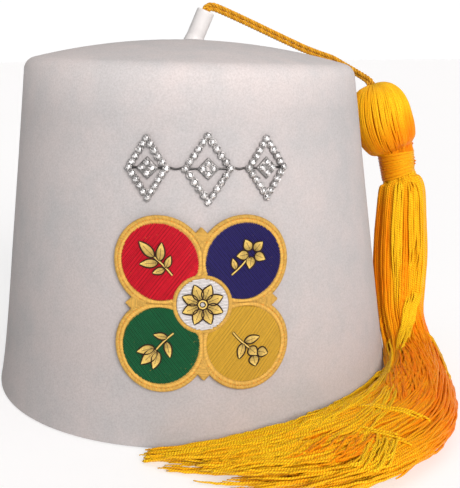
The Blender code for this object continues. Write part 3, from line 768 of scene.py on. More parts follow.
class FEZ_OT_stage(bpy.types.Operator):
    """Camera at the photograph's angle, pale floor and soft studio light"""
    bl_idname = "fez.stage"
    bl_label = "Stage"

    def execute(self, context):
        settings = context.scene.fez_stage
        self.camera(context, settings)
        self.floor(settings)
        self.lights(context, settings)
        context.scene.view_settings.view_transform = "Standard"
        return {"FINISHED"}

    def camera(self, context, settings):
        pitch, roll = settings.camera_pitch, settings.camera_roll
        forward = Vector((0, math.cos(pitch), -math.sin(pitch)))
        level = Vector((1, 0, 0))
        up = level.cross(forward)
        right = level * math.cos(roll) + up * math.sin(roll)
        over = up * math.cos(roll) - level * math.sin(roll)
        data = bpy.data.cameras.new("camera")
        data.sensor_width, data.lens = 36.0, settings.lens
        data.clip_start, data.clip_end = 0.01, 50.0
        camera = bpy.data.objects.new("camera", data)
        turned = Matrix((right, over, -forward)).transposed().to_4x4()
        camera.matrix_world = Matrix.Translation(Vector(AXIS) + Vector(settings.camera_place)) @ turned
        context.scene.collection.objects.link(camera)
        context.scene.camera = camera

    def floor(self, settings):
        weave = Weave()
        rings = FLOOR_RINGS[:, None, None] * spokes(around(48), (1.0, 0.0, 0.0), (0.0, 1.0, 0.0))
        weave.sheet(rings + FLOOR_MIDDLE, last=FLOOR_MIDDLE)
        material, tree = finish("pale_floor", 0.8, Specular_IOR_Level=0.1, Emission_Color=(1, 1, 1, 1),
                                Emission_Strength=settings.floor_glow)
        paint(tree, ramp(tree, noise(tree, 3.0), (0.3, shaded(settings.floor, 0.985)), (0.7, settings.floor)))
        floor = weave.make("floor", material)
        floor.parent = None
        del floor["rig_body"]

    def lights(self, context, settings):
        data = bpy.data.lights.new("key_light", "SUN")
        data.energy, data.angle = settings.key * math.pi, settings.key_softness
        data.color = settings.key_colour
        light = bpy.data.objects.new("key_light", data)
        turn, rise = settings.key_turn, settings.key_rise
        towards = Vector((math.sin(turn) * math.cos(rise), -math.cos(turn) * math.cos(rise), math.sin(rise)))
        light.rotation_euler = (-towards).to_track_quat("-Z", "Y").to_euler()
        light.location = towards * 2
        context.scene.collection.objects.link(light)
        context.scene.world = world = bpy.data.worlds.new("studio")
        world.use_nodes = True
        tree, background = world.node_tree, world.node_tree.nodes["Background"].inputs
        # Bright overhead and more so on the right, faint behind, dim at the sides, and pale at the horizon.
        across, away, up = split(tree, coordinates(tree, "Generated"))
        overhead = mapped(tree, up, 0.60, 0.92, settings.sky_low, settings.sky,
                          interpolation_type="SMOOTHSTEP")
        behind = times(tree, calc(tree, "MAXIMUM", away, 0.0), 0.20)
        brighter_right = calc(tree, "MULTIPLY_ADD", across, 0.32, 1.0)
        sky = calc(tree, "ADD", times(tree, overhead, brighter_right), behind)
        low, ahead = mapped(tree, up, 0.07, 0.10, 1.0, 0.0), mapped(tree, away, 0.78, 0.88)
        horizon = mapped(tree, up, 0.02, 0.10, 1.0, 0.0)
        pale = calc(tree, "MAXIMUM", times(tree, low, ahead), horizon)
        level = put(tree, "ShaderNodeMix", {"Factor": pale, 2: sky, 3: HORIZON}, data_type="FLOAT").outputs[0]
        tree.links.new(level, background["Strength"])
        background["Color"].default_value = (1, 1, 1, 1)


# -------------------- cord
CORD_STATIONS = 300
PLIES = 3
PLY_OFFSET, PLY_SWELL, LEG_OFFSET = 1.16, 0.98, 1.80        # in ply radii


class FEZ_OT_cord(bpy.types.Operator):
    """Doubled cord from the stem to the tassel's head, two legs of three twisted plies"""
    bl_idname = "fez.cord"
    bl_label = "Cord"

    def execute(self, context):
        settings = context.scene.fez_cord
        share = np.linspace(0, 1, CORD_STATIONS)
        middle = AXIS + smooth_rows(CORD_ROUTE, share)
        line = unit(np.gradient(middle, axis=0))
        upright = square_to(UP, line)
        along = lengths(middle)
        roll = np.radians(np.interp(share, (0, 0.35, 0.7, 1.0), (8, 12, 28, 42)))
        apart = np.interp(share, (0, 0.04, 0.93, 1.0), (0.45, 1.0, 1.0, 0.55))
        apart = apart * (LEG_OFFSET * settings.ply_radius)
        leg_way = spokes(roll, upright, np.cross(line, upright))
        leg_side = np.cross(line, leg_way)
        parting = smooth_step(share, 0.78, 1.02)[:, None]
        weave = Weave()
        for leg in (-1, 1):
            centre = middle + leg * apart[:, None] * leg_way + parting * LEG_ENDS[leg]
            for ply in range(PLIES):
                turn = 2 * math.pi * (along / settings.twist + ply / PLIES) + 0.7 * leg
                path = centre + settings.ply_radius * PLY_OFFSET * spokes(turn, leg_way, leg_side)
                weave.tubes(path[None], settings.ply_radius * PLY_SWELL, 0.30 + 0.22 * ply, sides=8)
        material = yarn_finish("cord_rayon", shaded(settings.deep, 0.92), shaded(settings.bright, 0.66),
                               shaded(settings.bright, 0.91), pitch=1.3, bump=0.5)
        cord = weave.make("twisted_cord", material, "cord")
        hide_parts("tassel_cord")
        return {"FINISHED"}


# -------------------- felt crown
class FEZ_OT_felt(bpy.types.Operator):
    """Felt crown with its rim, rounded shoulder, low dome and hollow inside"""
    bl_idname = "fez.felt"
    bl_label = "Felt crown"

    def execute(self, context):
        settings = context.scene.fez_felt
        angle = around(settings.sides)
        rows, apex = self.profile()
        stray = sum(np.sin(k * angle[None] + phase + rows[:, 1:2] * lift) / k for k, phase, lift in
                    ((2, 0.4, 31.0), (3, 2.1, 47.0), (5, 4.0, 83.0), (9, 1.3, 120.0)))
        half, height, inset = rows[:, 0:1], rows[:, 1:2], rows[:, 2:3]
        half = half + settings.waviness * stray * rows[:, 3:4]
        grid = np.stack([(half - inset) * np.cos(angle), (DEPTH_RATIO * half - inset) * np.sin(angle),
                         np.broadcast_to(height, (len(rows), settings.sides))], -1)
        weave = Weave()
        weave.sheet(AXIS + tilted(grid), first=AXIS + (0, 0, apex - FELT),
                    last=AXIS + (0, 0, apex))
        crown = weave.make("wool_crown", felt_finish(settings), "felt")
        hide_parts("felt_crown")
        return {"FINISHED"}

    def profile(self):
        """Rows of (half width, height, inset, stray) from inside the dome round the rim to the top."""
        dome_edge, dome_base = dome_numbers()
        edge_height = CROWN_HEIGHT - SHOULDER_RADIUS
        outer = []
        for height in np.concatenate([np.linspace(0.0006, 0.02, 12), np.linspace(0.024, edge_height, 22)]):
            outer.append((wall_half_width(height), height, 1.0, 0.0))
        shoulder_middle = wall_half_width(edge_height) - SHOULDER_RADIUS
        for degrees in (8, 17, 26, 35, 44, 52, 60, 68, 75):
            turn = math.radians(degrees)
            outer.append((shoulder_middle + SHOULDER_RADIUS * math.cos(turn),
                          edge_height + SHOULDER_RADIUS * math.sin(turn), math.cos(turn), math.sin(turn)))
        for share in (0.97, 0.93, 0.87, 0.80, 0.71, 0.62, 0.52, 0.42, 0.31, 0.20, 0.10):
            outer.append((dome_edge * share, dome_base + DOME_RISE * (1 - share * share), 0.0, 1.0))
        steady = [min(1.0, height / 0.01) if side > 0.5 else side for _, height, side, _ in outer]
        inside = [(half, height - up * FELT, side * FELT, keep)
                  for (half, height, side, up), keep in zip(outer, steady)]
        edge = wall_half_width(0.0)
        rim = [(edge, 0.0002, FELT - 0.00015, 0.0), (edge, 0.0, FELT - 0.0006, 0.0), (edge, 0.0, 0.0006, 0.0),
               (edge, 0.0002, 0.00015, 0.0)]
        outside = [(half, height, 0.0, keep) for (half, height, _, _), keep in zip(outer, steady)]
        return np.array(list(reversed(inside)) + rim + outside), dome_base + DOME_RISE


# -------------------- stem
class FEZ_OT_stem(bpy.types.Operator):
    """White stem that leans on the middle of the top, with the socket that the cord comes out of"""
    bl_idname = "fez.stem"
    bl_label = "Stem"

    def execute(self, context):
        settings = context.scene.fez_stem
        lean = np.array([math.sin(STEM_LEAN), 0, math.cos(STEM_LEAN)])
        base = np.array([STEM_BASE_X, 0, dome_height(STEM_BASE_X, 0.0)])
        round_it = spokes(around(settings.sides), *crosswise(lean))
        foot = base + (STEM_RADIUS + 0.0004) * round_it
        for _ in range(4):                  # along the stem until its foot meets the dome all round
            short = dome_height(foot[:, 0], foot[:, 1]) + 0.0001 - foot[:, 2]
            foot = foot + (short / lean[2])[:, None] * lean
        rows = [(STEM_RADIUS + 0.00015, 0.0008), (STEM_RADIUS, 0.0020)]
        rows += [(STEM_RADIUS, height) for height in np.linspace(0.003, STEM_LENGTH - STEM_EDGE, 8)]
        rows += [(STEM_RADIUS - STEM_EDGE * (1 - math.cos(turn)),
                  STEM_LENGTH - STEM_EDGE * (1 - math.sin(turn))) for turn in np.radians((22, 45, 68, 90))]
        rows += [(SOCKET_RADIUS + 0.0003, STEM_LENGTH), (SOCKET_RADIUS, STEM_LENGTH - 0.0003),
                 (SOCKET_RADIUS, STEM_LENGTH - SOCKET_DEPTH)]
        grid = AXIS + np.array([foot] + [base + radius * round_it + lean * height for radius, height in rows])
        weave = Weave()
        weave.sheet(grid, last=AXIS + base + lean * (STEM_LENGTH - SOCKET_DEPTH))
        stem = weave.make("white_stem", stem_finish(settings), "stem")
        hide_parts("stem")
        return {"FINISHED"}


# -------------------- tassel
HEAD_STATIONS, BALL_GRID = 36, (30, 32)
CORE_GRID = (60, 12)
SKIRT_STATIONS, FAN_STATIONS, STRAY_STATIONS = 124, 66, 40
TUFTS = 5                           # each lock's ends gather in so many tufts
WAVES = ((0.0040, 0.0060, 0.7), (0.009, 0.014, 0.8), (0.020, 0.034, 1.3), (0.04, 0.06, 2.2))  # lengths, size
WALL_GAP = 0.0003
HANGING_TINTS = (                   # across the skirt, from the wall outward, and the tint there
    (-1.0, -0.70, -0.50, -0.40, -0.20, -0.08, 0.12, 0.24, 0.70, 1.0),
    (0.12, 0.16, 0.34, 0.94, 0.88, 0.36, 0.20, 0.70, 0.78, 0.60),
)


class FEZ_OT_tassel(bpy.types.Operator):
    """Tassel of yarn: the head's strands, the skirt's locks of strands and the threads that stray"""
    bl_idname = "fez.tassel"
    bl_label = "Tassel"

    def execute(self, context):
        settings = context.scene.fez_yarn
        rng = np.random.default_rng(settings.seed)
        colours = settings.deep, settings.middle, settings.bright
        yarn = yarn_finish("tassel_rayon", *colours, loose=0.6)
        sleek = yarn_finish("tassel_head_rayon", *map(shaded, colours, (0.86, 0.86, 0.90)), pitch=1.6,
                            roughness=0.34, bump=0.5, groove=0.78, loose=1.0)
        core = yarn_finish("tassel_core", *colours, pitch=60.0, plies=16)
        self.head(settings, rng, sleek)
        self.cores(core)
        self.skirt(settings, rng, yarn)
        self.strays(settings, rng, yarn)
        return {"FINISHED"}

    def head(self, settings, rng, material):
        count = settings.head
        share = np.broadcast_to(np.linspace(0, 1, HEAD_STATIONS), (count, HEAD_STATIONS))
        along, radius = np.moveaxis(smooth_rows(HEAD_PROFILE, share), -1, 0)
        neck = BINDING_RADIUS + 0.0007
        radius = np.where(along > 0.80, np.maximum(radius, neck + 0.0004 * (1 - along) / 0.2), radius)
        along, radius = (np.concatenate([part, np.broadcast_to(bound, (count, 4))], 1) for part, bound in (
            (along, np.linspace(1.05, 1.5, 4)), (radius, (neck, neck - 0.0008, NECK_RADIUS, NECK_RADIUS))))
        start = around(count, rng.uniform(-0.3, 0.3, count))
        angle = start[:, None] + 0.30 * along + wander(rng, count, along.shape[1], 3, 0.030)
        thick = np.minimum(settings.strand_radius * 0.95, 2 * math.pi * radius / count * 0.66)
        sink = rng.uniform(0.0, 0.30, (count, 1)) * settings.strand_radius
        lines = head_points(along, np.maximum(radius - thick * 0.8 - sink, 0.0006), angle)
        lines = self.resting(lines - (0.0009, 0, 0) * smooth_step(along, 0.15, 0.9)[..., None], thick)
        # Painted light: strands on the front right, towards the light, are tinted bright yellow high up as a
        # painted highlight and deep orange low down as painted shade.
        lit = 0.5 + 0.5 * np.cos(angle - 0.7)
        tints = (0.54 + 0.34 * lit - 0.74 * lit * smooth_step(along, 0.38, 0.86)
                 + 0.08 * np.sin(start * 9)[:, None] + rng.uniform(-0.12, 0.12, (count, 1)))
        weave = Weave()
        weave.tubes(lines, thick, np.clip(tints, 0, 1))
        ball = smooth_rows(HEAD_PROFILE, np.linspace(0, 1, BALL_GRID[0]))[:, None]
        grid = head_points(*(np.broadcast_to(part, BALL_GRID) for part in (
            ball[..., 0], np.maximum(ball[..., 1] - 0.0010, 0.0004), around(BALL_GRID[1]))))
        weave.sheet(grid[:, ::-1], tints=0.2)
        piece = weave.make("tassel_head", material, "yarn")
        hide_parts("tassel_yarn")

    def cores(self, material):
        """The mass of strands inside each lock, which shows only between the outer ones."""
        weave = Weave()
        share, turn = np.linspace(0, 1, CORE_GRID[0])[:, None], around(CORE_GRID[1])
        for across, over, radius in (*LOCKS, (0.0, 0.0, 0.66)):
            reach = radius * 0.93 * (1 - 0.9 * smooth_step(share, 0.84, 1.0))
            place = np.broadcast_to(share * self.lock_end(across, over) * 0.97, CORE_GRID)
            grid = skirt_points(place, across + reach * np.cos(turn), over + reach * np.sin(turn))
            grid[..., 2] = np.maximum(grid[..., 2], 0.0002)
            weave.sheet(grid, tints=0.30)
        weave.make("tassel_core", material, "yarn")

    def lock_end(self, across, over):
        """How far along the bundle a strand reaches: the ones by the wall run on the longest."""
        return LOCK_END - LOCK_END_SLANT * self.outward(across, over)

    @staticmethod
    def outward(across, over):
        """How far out from the wall a place in the bundle lies on the floor."""
        return across * math.cos(FLOOR_ROLL) - over * math.sin(FLOOR_ROLL)

    def skirt(self, settings, rng, material):
        """Strands over and inside each lock, from under the binding to their loose ends."""
        share = np.interp(np.linspace(0, 1, SKIRT_STATIONS), (0, 0.36, 1), (0, 0.60, 1))[None]
        count = settings.outer + settings.inner
        is_outer = np.arange(count) < settings.outer
        groups = {}
        for index, (across, over, radius) in enumerate(LOCKS):
            outward = math.atan2(over, across)
            fan = np.linspace(-1, 1, settings.outer) * math.radians(116) + outward
            angle = np.concatenate([fan, rng.uniform(0, 2 * math.pi, settings.inner)])[:, None]
            deep = np.where(is_outer, rng.uniform(0.92, 1.0, count), rng.uniform(0.55, 0.9, count))[:, None]
            end = self.lock_end(across, over)
            along = np.clip(end * rng.uniform(0.93, 1.03, (count, 1)), 0, 1) * share
            loose = 0.25 + 0.75 * smooth_step(along, 0.25, 0.60)
            angle = angle + wander(rng, count, SKIRT_STATIONS, 4, 0.22) * loose
            depth = np.clip(deep + wander(rng, count, SKIRT_STATIONS, 4, 0.07) * loose, 0.1, 1.06)
            reach = radius * depth * (1.0 - 0.25 * smooth_step(along / end, 0.82, 1.02))
            wide, high = across + reach * np.cos(angle), over + reach * np.sin(angle)
            tuft = rng.integers(0, TUFTS, (count, 1))
            tuft_way = outward + 2 * math.pi * (tuft + rng.random()) / TUFTS
            gather = 0.62 * smooth_step(along / end, 0.86, 0.99)
            wide += gather * (across + 0.72 * radius * np.cos(tuft_way) - wide)
            high += gather * (over + 0.72 * radius * np.sin(tuft_way) - high)
            along = along + gather * rng.normal(0, 0.010, TUFTS)[tuft]
            self.grow(settings, rng, groups, index, along, share, wide, high)
        count = settings.fan
        share = np.linspace(0, 1, FAN_STATIONS)[None]
        way = rng.uniform(-1.0, math.pi + 0.6, (count, 1)) + wander(rng, count, FAN_STATIONS, 3, 0.12)
        first = rng.uniform(0.34, 0.50, (count, 1))
        end = self.lock_end(np.cos(way[:, :1]), np.sin(way[:, :1])) * rng.uniform(0.93, 1.03, (count, 1))
        along = first + (np.clip(end, 0, 1) - first) * share
        depth = 0.60 + 0.38 * smooth_step(share, 0.0, 0.30) + wander(rng, count, FAN_STATIONS, 3, 0.03)
        self.grow(settings, rng, groups, len(LOCKS), along, share, depth * np.cos(way), depth * np.sin(way))
        for name, weave in groups.items():
            weave.make(name, material, "yarn")

    def grow(self, settings, rng, groups, index, along, share, across, over):
        """Add strands through places in the bundle to the group's mesh."""
        lines = self.crinkled(rng, skirt_points(along, across, over), along, share)
        thick = settings.strand_radius * rng.uniform(0.88, 1.12, (len(along), 1)) * (
            0.75 + 0.25 * smooth_step(along, 0.03, 0.10)) * (1 - 0.5 * smooth_step(share, 0.975, 1.0))
        weave = groups.setdefault(f"tassel_skirt_{index // 2 + 1}", Weave())
        weave.tubes(self.resting(lines, thick), thick, self.skirt_tints(rng, along, across, over), sides=5)

    def skirt_tints(self, rng, along, across, over):
        """Streaks of orange and yellow where it hangs, deep orange on the fan's bend, yellow at the ends."""
        streaks = np.interp(across, *HANGING_TINTS)
        streaks = streaks + (0.74 - streaks) * (1 - smooth_step(along, 0.07, 0.20))
        bend, left = smooth_step(along, 0.30, 0.42), smooth_step(along, 0.65, 0.80)
        outside = self.outward(across, over)
        fan = (0.18 - 0.28 * outside) * (1 - left) + (0.78 - 0.12 * outside) * left
        loose = 0.12 + 0.06 * bend + 0.02 * left
        tints = streaks * (1 - bend) + fan * bend + loose * rng.uniform(-1, 1, (len(along), 1))
        return np.clip(tints, 0, 1)

    def crinkled(self, rng, lines, along, share):
        """Small waves along each strand, and ends that splay."""
        count, travel = len(lines), lengths(lines)
        reach = 0.00006 + 0.00008 * smooth_step(along, 0.25, 0.50) + 0.00014 * smooth_step(along, 0.60, 0.85)
        for low, high, size in WAVES:
            wave = 2 * math.pi * travel / rng.uniform(low, high, (count, 1)) + rng.uniform(0, 6.3, (count, 1))
            way = unit(rng.normal(size=(count, 1, 3)) * (1, 1, 0.7))
            lines = lines + (reach * size * np.sin(wave))[..., None] * way
        splay = rng.normal(size=(count, 1, 3)) * (0.0008, 0.0013, 0.0006)
        return lines + (smooth_step(share, 0.84, 1.02) ** 2)[..., None] * splay

    def resting(self, lines, thick):
        """Lift strands that would sink into the floor and push back those that would enter the felt."""
        lines = lines.copy()
        lines[..., 2] = np.maximum(lines[..., 2], thick)
        flat = lines - AXIS
        out = np.hypot(flat[..., 0], flat[..., 1] / DEPTH_RATIO)
        need = wall_half_width(np.maximum(lines[..., 2], 0)) + thick + WALL_GAP
        scale = np.maximum(need / np.maximum(out, 1e-6), 1.0)
        scale = np.where(lines[..., 2] < CROWN_HEIGHT - SHOULDER_RADIUS, scale, 1.0)
        lines[..., :2] = AXIS[:2] + flat[..., :2] * scale[..., None]
        return lines

    def strays(self, settings, rng, material):
        """Flat bundles and loose strands that lie over the others."""
        weave = Weave()
        even = np.linspace(0, 1, STRAY_STATIONS)[None]
        tuck = smooth_step(even, 0.0, 0.25) * (1 - smooth_step(even, 0.72, 1.0))
        for row in BUNDLES:
            key_along, key_way = row[:6:2], row[1:6:2]
            count, spread, start_fan, end_fan, lift, tint = row[6:]
            across = np.linspace(-1, 1, count)[:, None] + rng.normal(0, 0.16, (count, 1))
            first = rng.uniform(0.0, 0.14, (count, 1))
            share = first + (rng.uniform(0.70, 1.0, (count, 1)) - first) * even
            level = abs(key_along[2] - key_along[0]) < 0.07         # a bundle that lies across the others
            along = self.bow(key_along, share) + rng.normal(0, spread / 3, (count, 1)) + spread * across * (
                0.4 if level else 0.0)
            fan = start_fan + (end_fan - start_fan) * share
            way = np.radians(self.bow(key_way, share) + fan * across)
            way = way + wander(rng, count, STRAY_STATIONS, 2, 0.03)
            depth = 0.72 + (0.28 + lift + rng.uniform(0, 0.03, (count, 1))) * tuck
            lines = self.crinkled(rng, skirt_points(along, depth * np.cos(way), depth * np.sin(way)), along,
                                  share * 0.8)
            thick = np.broadcast_to(settings.strand_radius * rng.uniform(0.85, 1.05, (count, 1)), along.shape)
            tints = np.broadcast_to(tint + rng.uniform(-0.14, 0.14, (count, 1)), along.shape)
            weave.tubes(self.resting(lines, thick), thick, np.clip(tints, 0, 1), sides=5)
        weave.make("tassel_strays", material, "yarn")

    def bow(self, keys, share):
        """A smooth run through three values."""
        start, middle, end = keys
        return start + (4 * middle - 3 * start - end) * share + 2 * (start + end - 2 * middle) * share ** 2


THREAD = 0.00022                    # radius of the binding's thread
WINDS, WIND_STEPS = 30, 48
BINDING_SEED = 11                   # added to the tassel's own
BAND_GRID = (12, 40)
BINDING_RISE = -0.0006              # where it starts, along the neck from the head's end
BINDING_FLARE = (0.0008, 0.0007)    # how much wider it starts, over its threads and under them


class FEZ_OT_binding(bpy.types.Operator):
    """Close-wound thread round the tassel's neck, with its loose end"""
    bl_idname = "fez.binding"
    bl_label = "Binding"

    def execute(self, context):
        settings = context.scene.fez_yarn
        rng = np.random.default_rng(settings.seed + BINDING_SEED)
        top, end = np.array(HEAD_LINE[2]), np.array(HEAD_LINE[3])
        axis = unit(end - top)
        ways = crosswise(axis)
        run = float(np.linalg.norm(end - top)) - BINDING_RISE
        middle = AXIS + top - 0.0010 * ways[0]
        share = np.linspace(0, 1, WINDS * WIND_STEPS)
        turn = 2 * math.pi * WINDS * share
        lift = BINDING_RISE + THREAD + (run - 2 * THREAD) * share
        lift = lift + 0.00010 * np.sin(turn * 0.37) - self.slope(share) * np.cos(turn)
        uneven = 0.00012 * np.sin(turn * 0.61 + 1.0) * np.sin(share * 21)
        tucked = 0.0005 * np.maximum(np.abs(share - 0.5) * 2 - 0.90, 0) / 0.10
        radius = BINDING_RADIUS + BINDING_FLARE[0] * (1 - share) + uneven - tucked
        path = middle + axis * lift[:, None] + radius[:, None] * spokes(turn, *ways)
        weave = Weave()
        # Painted highlight: windings on the front right, towards the light, are tinted brighter.
        tints = np.clip(0.36 + 0.32 * np.cos(turn - 0.6) + 0.10 * np.sin(share * 42)
                        + rng.uniform(-0.08, 0.08, len(share)), 0, 1)
        weave.tubes(path[None], THREAD * 1.25, tints[None])
        part, ring = np.linspace(0, 1, BAND_GRID[0])[:, None], around(BAND_GRID[1])
        lift = BINDING_RISE + 0.0003 + (run - 0.0006) * part - self.slope(part) * np.cos(ring)
        radius = BINDING_RADIUS + BINDING_FLARE[1] * (1 - part) - 1.4 * THREAD
        weave.sheet(middle + axis * lift[..., None] + radius[..., None] * spokes(ring, *ways), tints=0.35)
        self.loops(weave, rng, middle, axis, ways)
        colours = settings.deep, settings.middle, settings.bright
        material = yarn_finish("binding_rayon", *map(shaded, colours, (0.84, 0.86, 0.86)), pitch=1.2,
                               roughness=0.32, bump=0.25, groove=0.60)
        piece = weave.make("wound_binding", material, "binding")
        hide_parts("tassel_binding")
        return {"FINISHED"}

    @staticmethod
    def slope(share):
        """How far the windings dip on the outer side: more the lower they are."""
        return (0.04 + 0.17 * share) * BINDING_RADIUS

    def loops(self, weave, rng, middle, axis, ways):
        """Small loops of loose thread that stand off the binding's outer side."""
        share = np.linspace(0, 1, 22)
        for lift, reach in LOOPS:
            turn, width = rng.uniform(0.0, 0.30), rng.uniform(0.0012, 0.0020)
            angle = turn + 0.22 * np.sin(2 * math.pi * share)
            out = BINDING_RADIUS + 0.0004 + reach * np.sin(math.pi * share)
            rise = lift + width * (share - 0.5)
            path = middle + axis * rise[:, None] + out[:, None] * spokes(angle, *ways)
            weave.tubes(path[None], 0.00030, 0.0, sides=5)


# -------------------- emblem and trim, flat on the wall
LOBES = {"red": (-1, 1), "navy": (1, 1), "yellow": (1, -1), "green": (-1, -1)}     # which way each lies
CLOTH = (0.0003, 0.0009)            # heights off the felt: the backing,
BORDER = (0.0012, 0.0022)           # the border,
FIELD = (0.0012, 0.0020)            # the fields
CENTRE = (0.0012, 0.0023)           # and the centre
SATIN_RADIUS, SATIN_STEP = 0.44, 0.72               # shares of the row pitch
SATIN_SLANT = 0.022                 # how far a stitch leans, as an angle at the lobe's middle
OUTLINE_POINTS, ROW_STATIONS, DASHES = 240, 44, 64
EMBLEM_SEED, TRIM_SEED = 23, 41


def both(across, out, degrees, length, half):
    """A petal and its mirror image."""
    return (-across, out, degrees, length, half), (across, out, 180 - degrees, length, half)


MOTIF_SEWING = {                    # the stem's ends, then petals: base, degrees, length, half width
    "red": (
        (-0.0078, 0.0012), (0.0, 0.0012, 90, 0.0074, 0.0017), *both(0.0004, -0.0012, 142, 0.0066, 0.0015),
        *both(0.0003, -0.0044, 156, 0.0046, 0.0012)),
    "navy": (
        (-0.0080, 0.0006), (0.0, 0.0036, 90, 0.0044, 0.0017), *both(0.0011, 0.0028, 162, 0.0044, 0.0017),
        (-0.0007, 0.0014, 234, 0.0044, 0.0017), (0.0007, 0.0014, 306, 0.0044, 0.0017),
        (-0.0002, -0.0056, 152, 0.0042, 0.0011)),
    "yellow": (
        (-0.0076, 0.0010), (-0.0010, 0.0040, 118, 0.0040, 0.0018), (0.0012, 0.0038, 60, 0.0040, 0.0018),
        (0.0001, 0.0008, 90, 0.0040, 0.0018), *both(0.0004, -0.0020, 150, 0.0056, 0.0014)),
    "green": (
        (-0.0080, 0.0008), (0.0, 0.0006, 90, 0.0078, 0.0019), *both(0.0010, 0.0006, 118, 0.0066, 0.0016),
        (-0.0004, -0.0040, 148, 0.0058, 0.0013), (0.0004, -0.0054, 36, 0.0050, 0.0012)),
}


def on_wall(flat, out, at=EMBLEM):
    """Places on the wall of flat (across, up) points, and the wall's outward directions."""
    arc, height = np.moveaxis(np.asarray(flat, float) + at, -1, 0)
    return wall_points(arc, height, out), wall_normals(arc, height)


def rays(angle):
    return np.stack([np.cos(angle), np.sin(angle)], -1)


def emblem_reach(angle, inset=0.0):
    """How far the emblem reaches in each direction: round lobes, and barbs between them."""
    spread = LOBE_OFFSET * math.sqrt(2)
    off = (angle % (math.pi / 2)) - math.pi / 4
    lobe = spread * np.cos(off) + np.sqrt((LOBE_RADIUS - inset) ** 2 - (spread * np.sin(off)) ** 2)
    return np.maximum(lobe, lozenge_reach(angle, BARB_REACH - inset, BARB_REACH - inset))


def lozenge_reach(angle, half_across, half_up):
    return 1 / (np.abs(np.cos(angle)) / half_across + np.abs(np.sin(angle)) / half_up)


def plate(weave, reach, levels, tint, middle=(0.0, 0.0), at=EMBLEM):
    """A closed plate on an outline about its middle. levels: (share of the reach, change, height out)."""
    angle = around(OUTLINE_POINTS)
    rows = [on_wall(middle + rays(angle) * (reach(angle) * share + change)[:, None], out, at)[0]
            for share, change, out in levels]
    low, high = (on_wall(middle, levels[k][2], at)[0] for k in (0, -1))
    weave.sheet(np.array(rows), tints=tint, first=low, last=high)


def stitches(weave, starts, ends, radius, low, high, tints):
    """Straight satin stitches that rise from the cloth and dip back into it."""
    share = np.array([0.0, 0.13, 0.5, 0.87, 1.0])[None, :, None]
    path = starts[:, None] * (1 - share) + ends[:, None] * share
    places, normals = on_wall(path, low + (high - low) * np.sin(math.pi * share[..., 0]) ** 0.45)
    weave.tubes(places, radius, tints, sides=5, tops=normals, flat=0.7)


def line_on_wall(weave, path, radius, out, tint, at=EMBLEM, flat=0.85):
    """One thread or wire along a flat path."""
    places, normals = on_wall(path, out, at)
    weave.tubes(places[None], radius, tint, tops=normals[None], flat=flat)


def fill_rows(middle, radius, pitch, way, hub):
    """Ends of parallel rows of stitching that fill a disc outside the hub's circle."""
    along, step = rays(np.array(way)), rays(np.array(way + math.pi / 2))
    rows = []
    for offset in np.arange(-radius + pitch * 0.5, radius, pitch):
        half = math.sqrt(radius ** 2 - offset ** 2)
        centre = middle + step * offset
        nearest = -float(centre @ along)
        inside = hub ** 2 - float(centre @ centre) + nearest ** 2
        spans = [(-half, half)]
        if inside > 0:
            cut = math.sqrt(inside)
            spans = [(-half, min(half, nearest - cut)), (max(-half, nearest + cut), half)]
        rows += [(centre + along * a, centre + along * b) for a, b in spans if b - a > pitch]
    return np.array(rows)


def sew_rows(weave, rows, pitch, base, top, rng, stitch=0.0031):
    """Rows of fill stitching whose stitches dip into the cloth, staggered from row to row."""
    number = np.arange(len(rows))[:, None]
    share = np.linspace(0, 1, ROW_STATIONS)[None]
    span = rows[:, 1] - rows[:, 0]
    path = rows[:, None, 0] + span[:, None] * share[..., None]
    stagger = number % 3 / 3 + rng.uniform(-0.06, 0.06, (len(rows), 1))
    turn = share * np.linalg.norm(span, axis=1)[:, None] / stitch + stagger
    lift = base + (top - base) * (0.55 + 0.45 * np.abs(np.sin(math.pi * turn)) ** 0.4)
    lift = lift * np.where((share < 0.01) | (share > 0.99), 0.86, 1.0)
    shade = 0.5 + 0.34 * np.sin(np.floor(turn) * 12.9898 + number * 78.233)     # a fixed scatter
    places, normals = on_wall(path, lift - pitch * 0.3)
    weave.tubes(places, pitch * 0.58, shade + rng.uniform(-0.12, 0.12, (len(rows), 1)), sides=5,
                tops=normals, flat=0.7)


def petal_width(share):
    return np.sin(math.pi * np.clip(share, 0, 1) ** 0.8) ** 0.8


def turned(flat, angle):
    """Flat points turned round their middle."""
    c, s = math.cos(angle), math.sin(angle)
    return np.stack([flat[..., 0] * c - flat[..., 1] * s, flat[..., 0] * s + flat[..., 1] * c], -1)


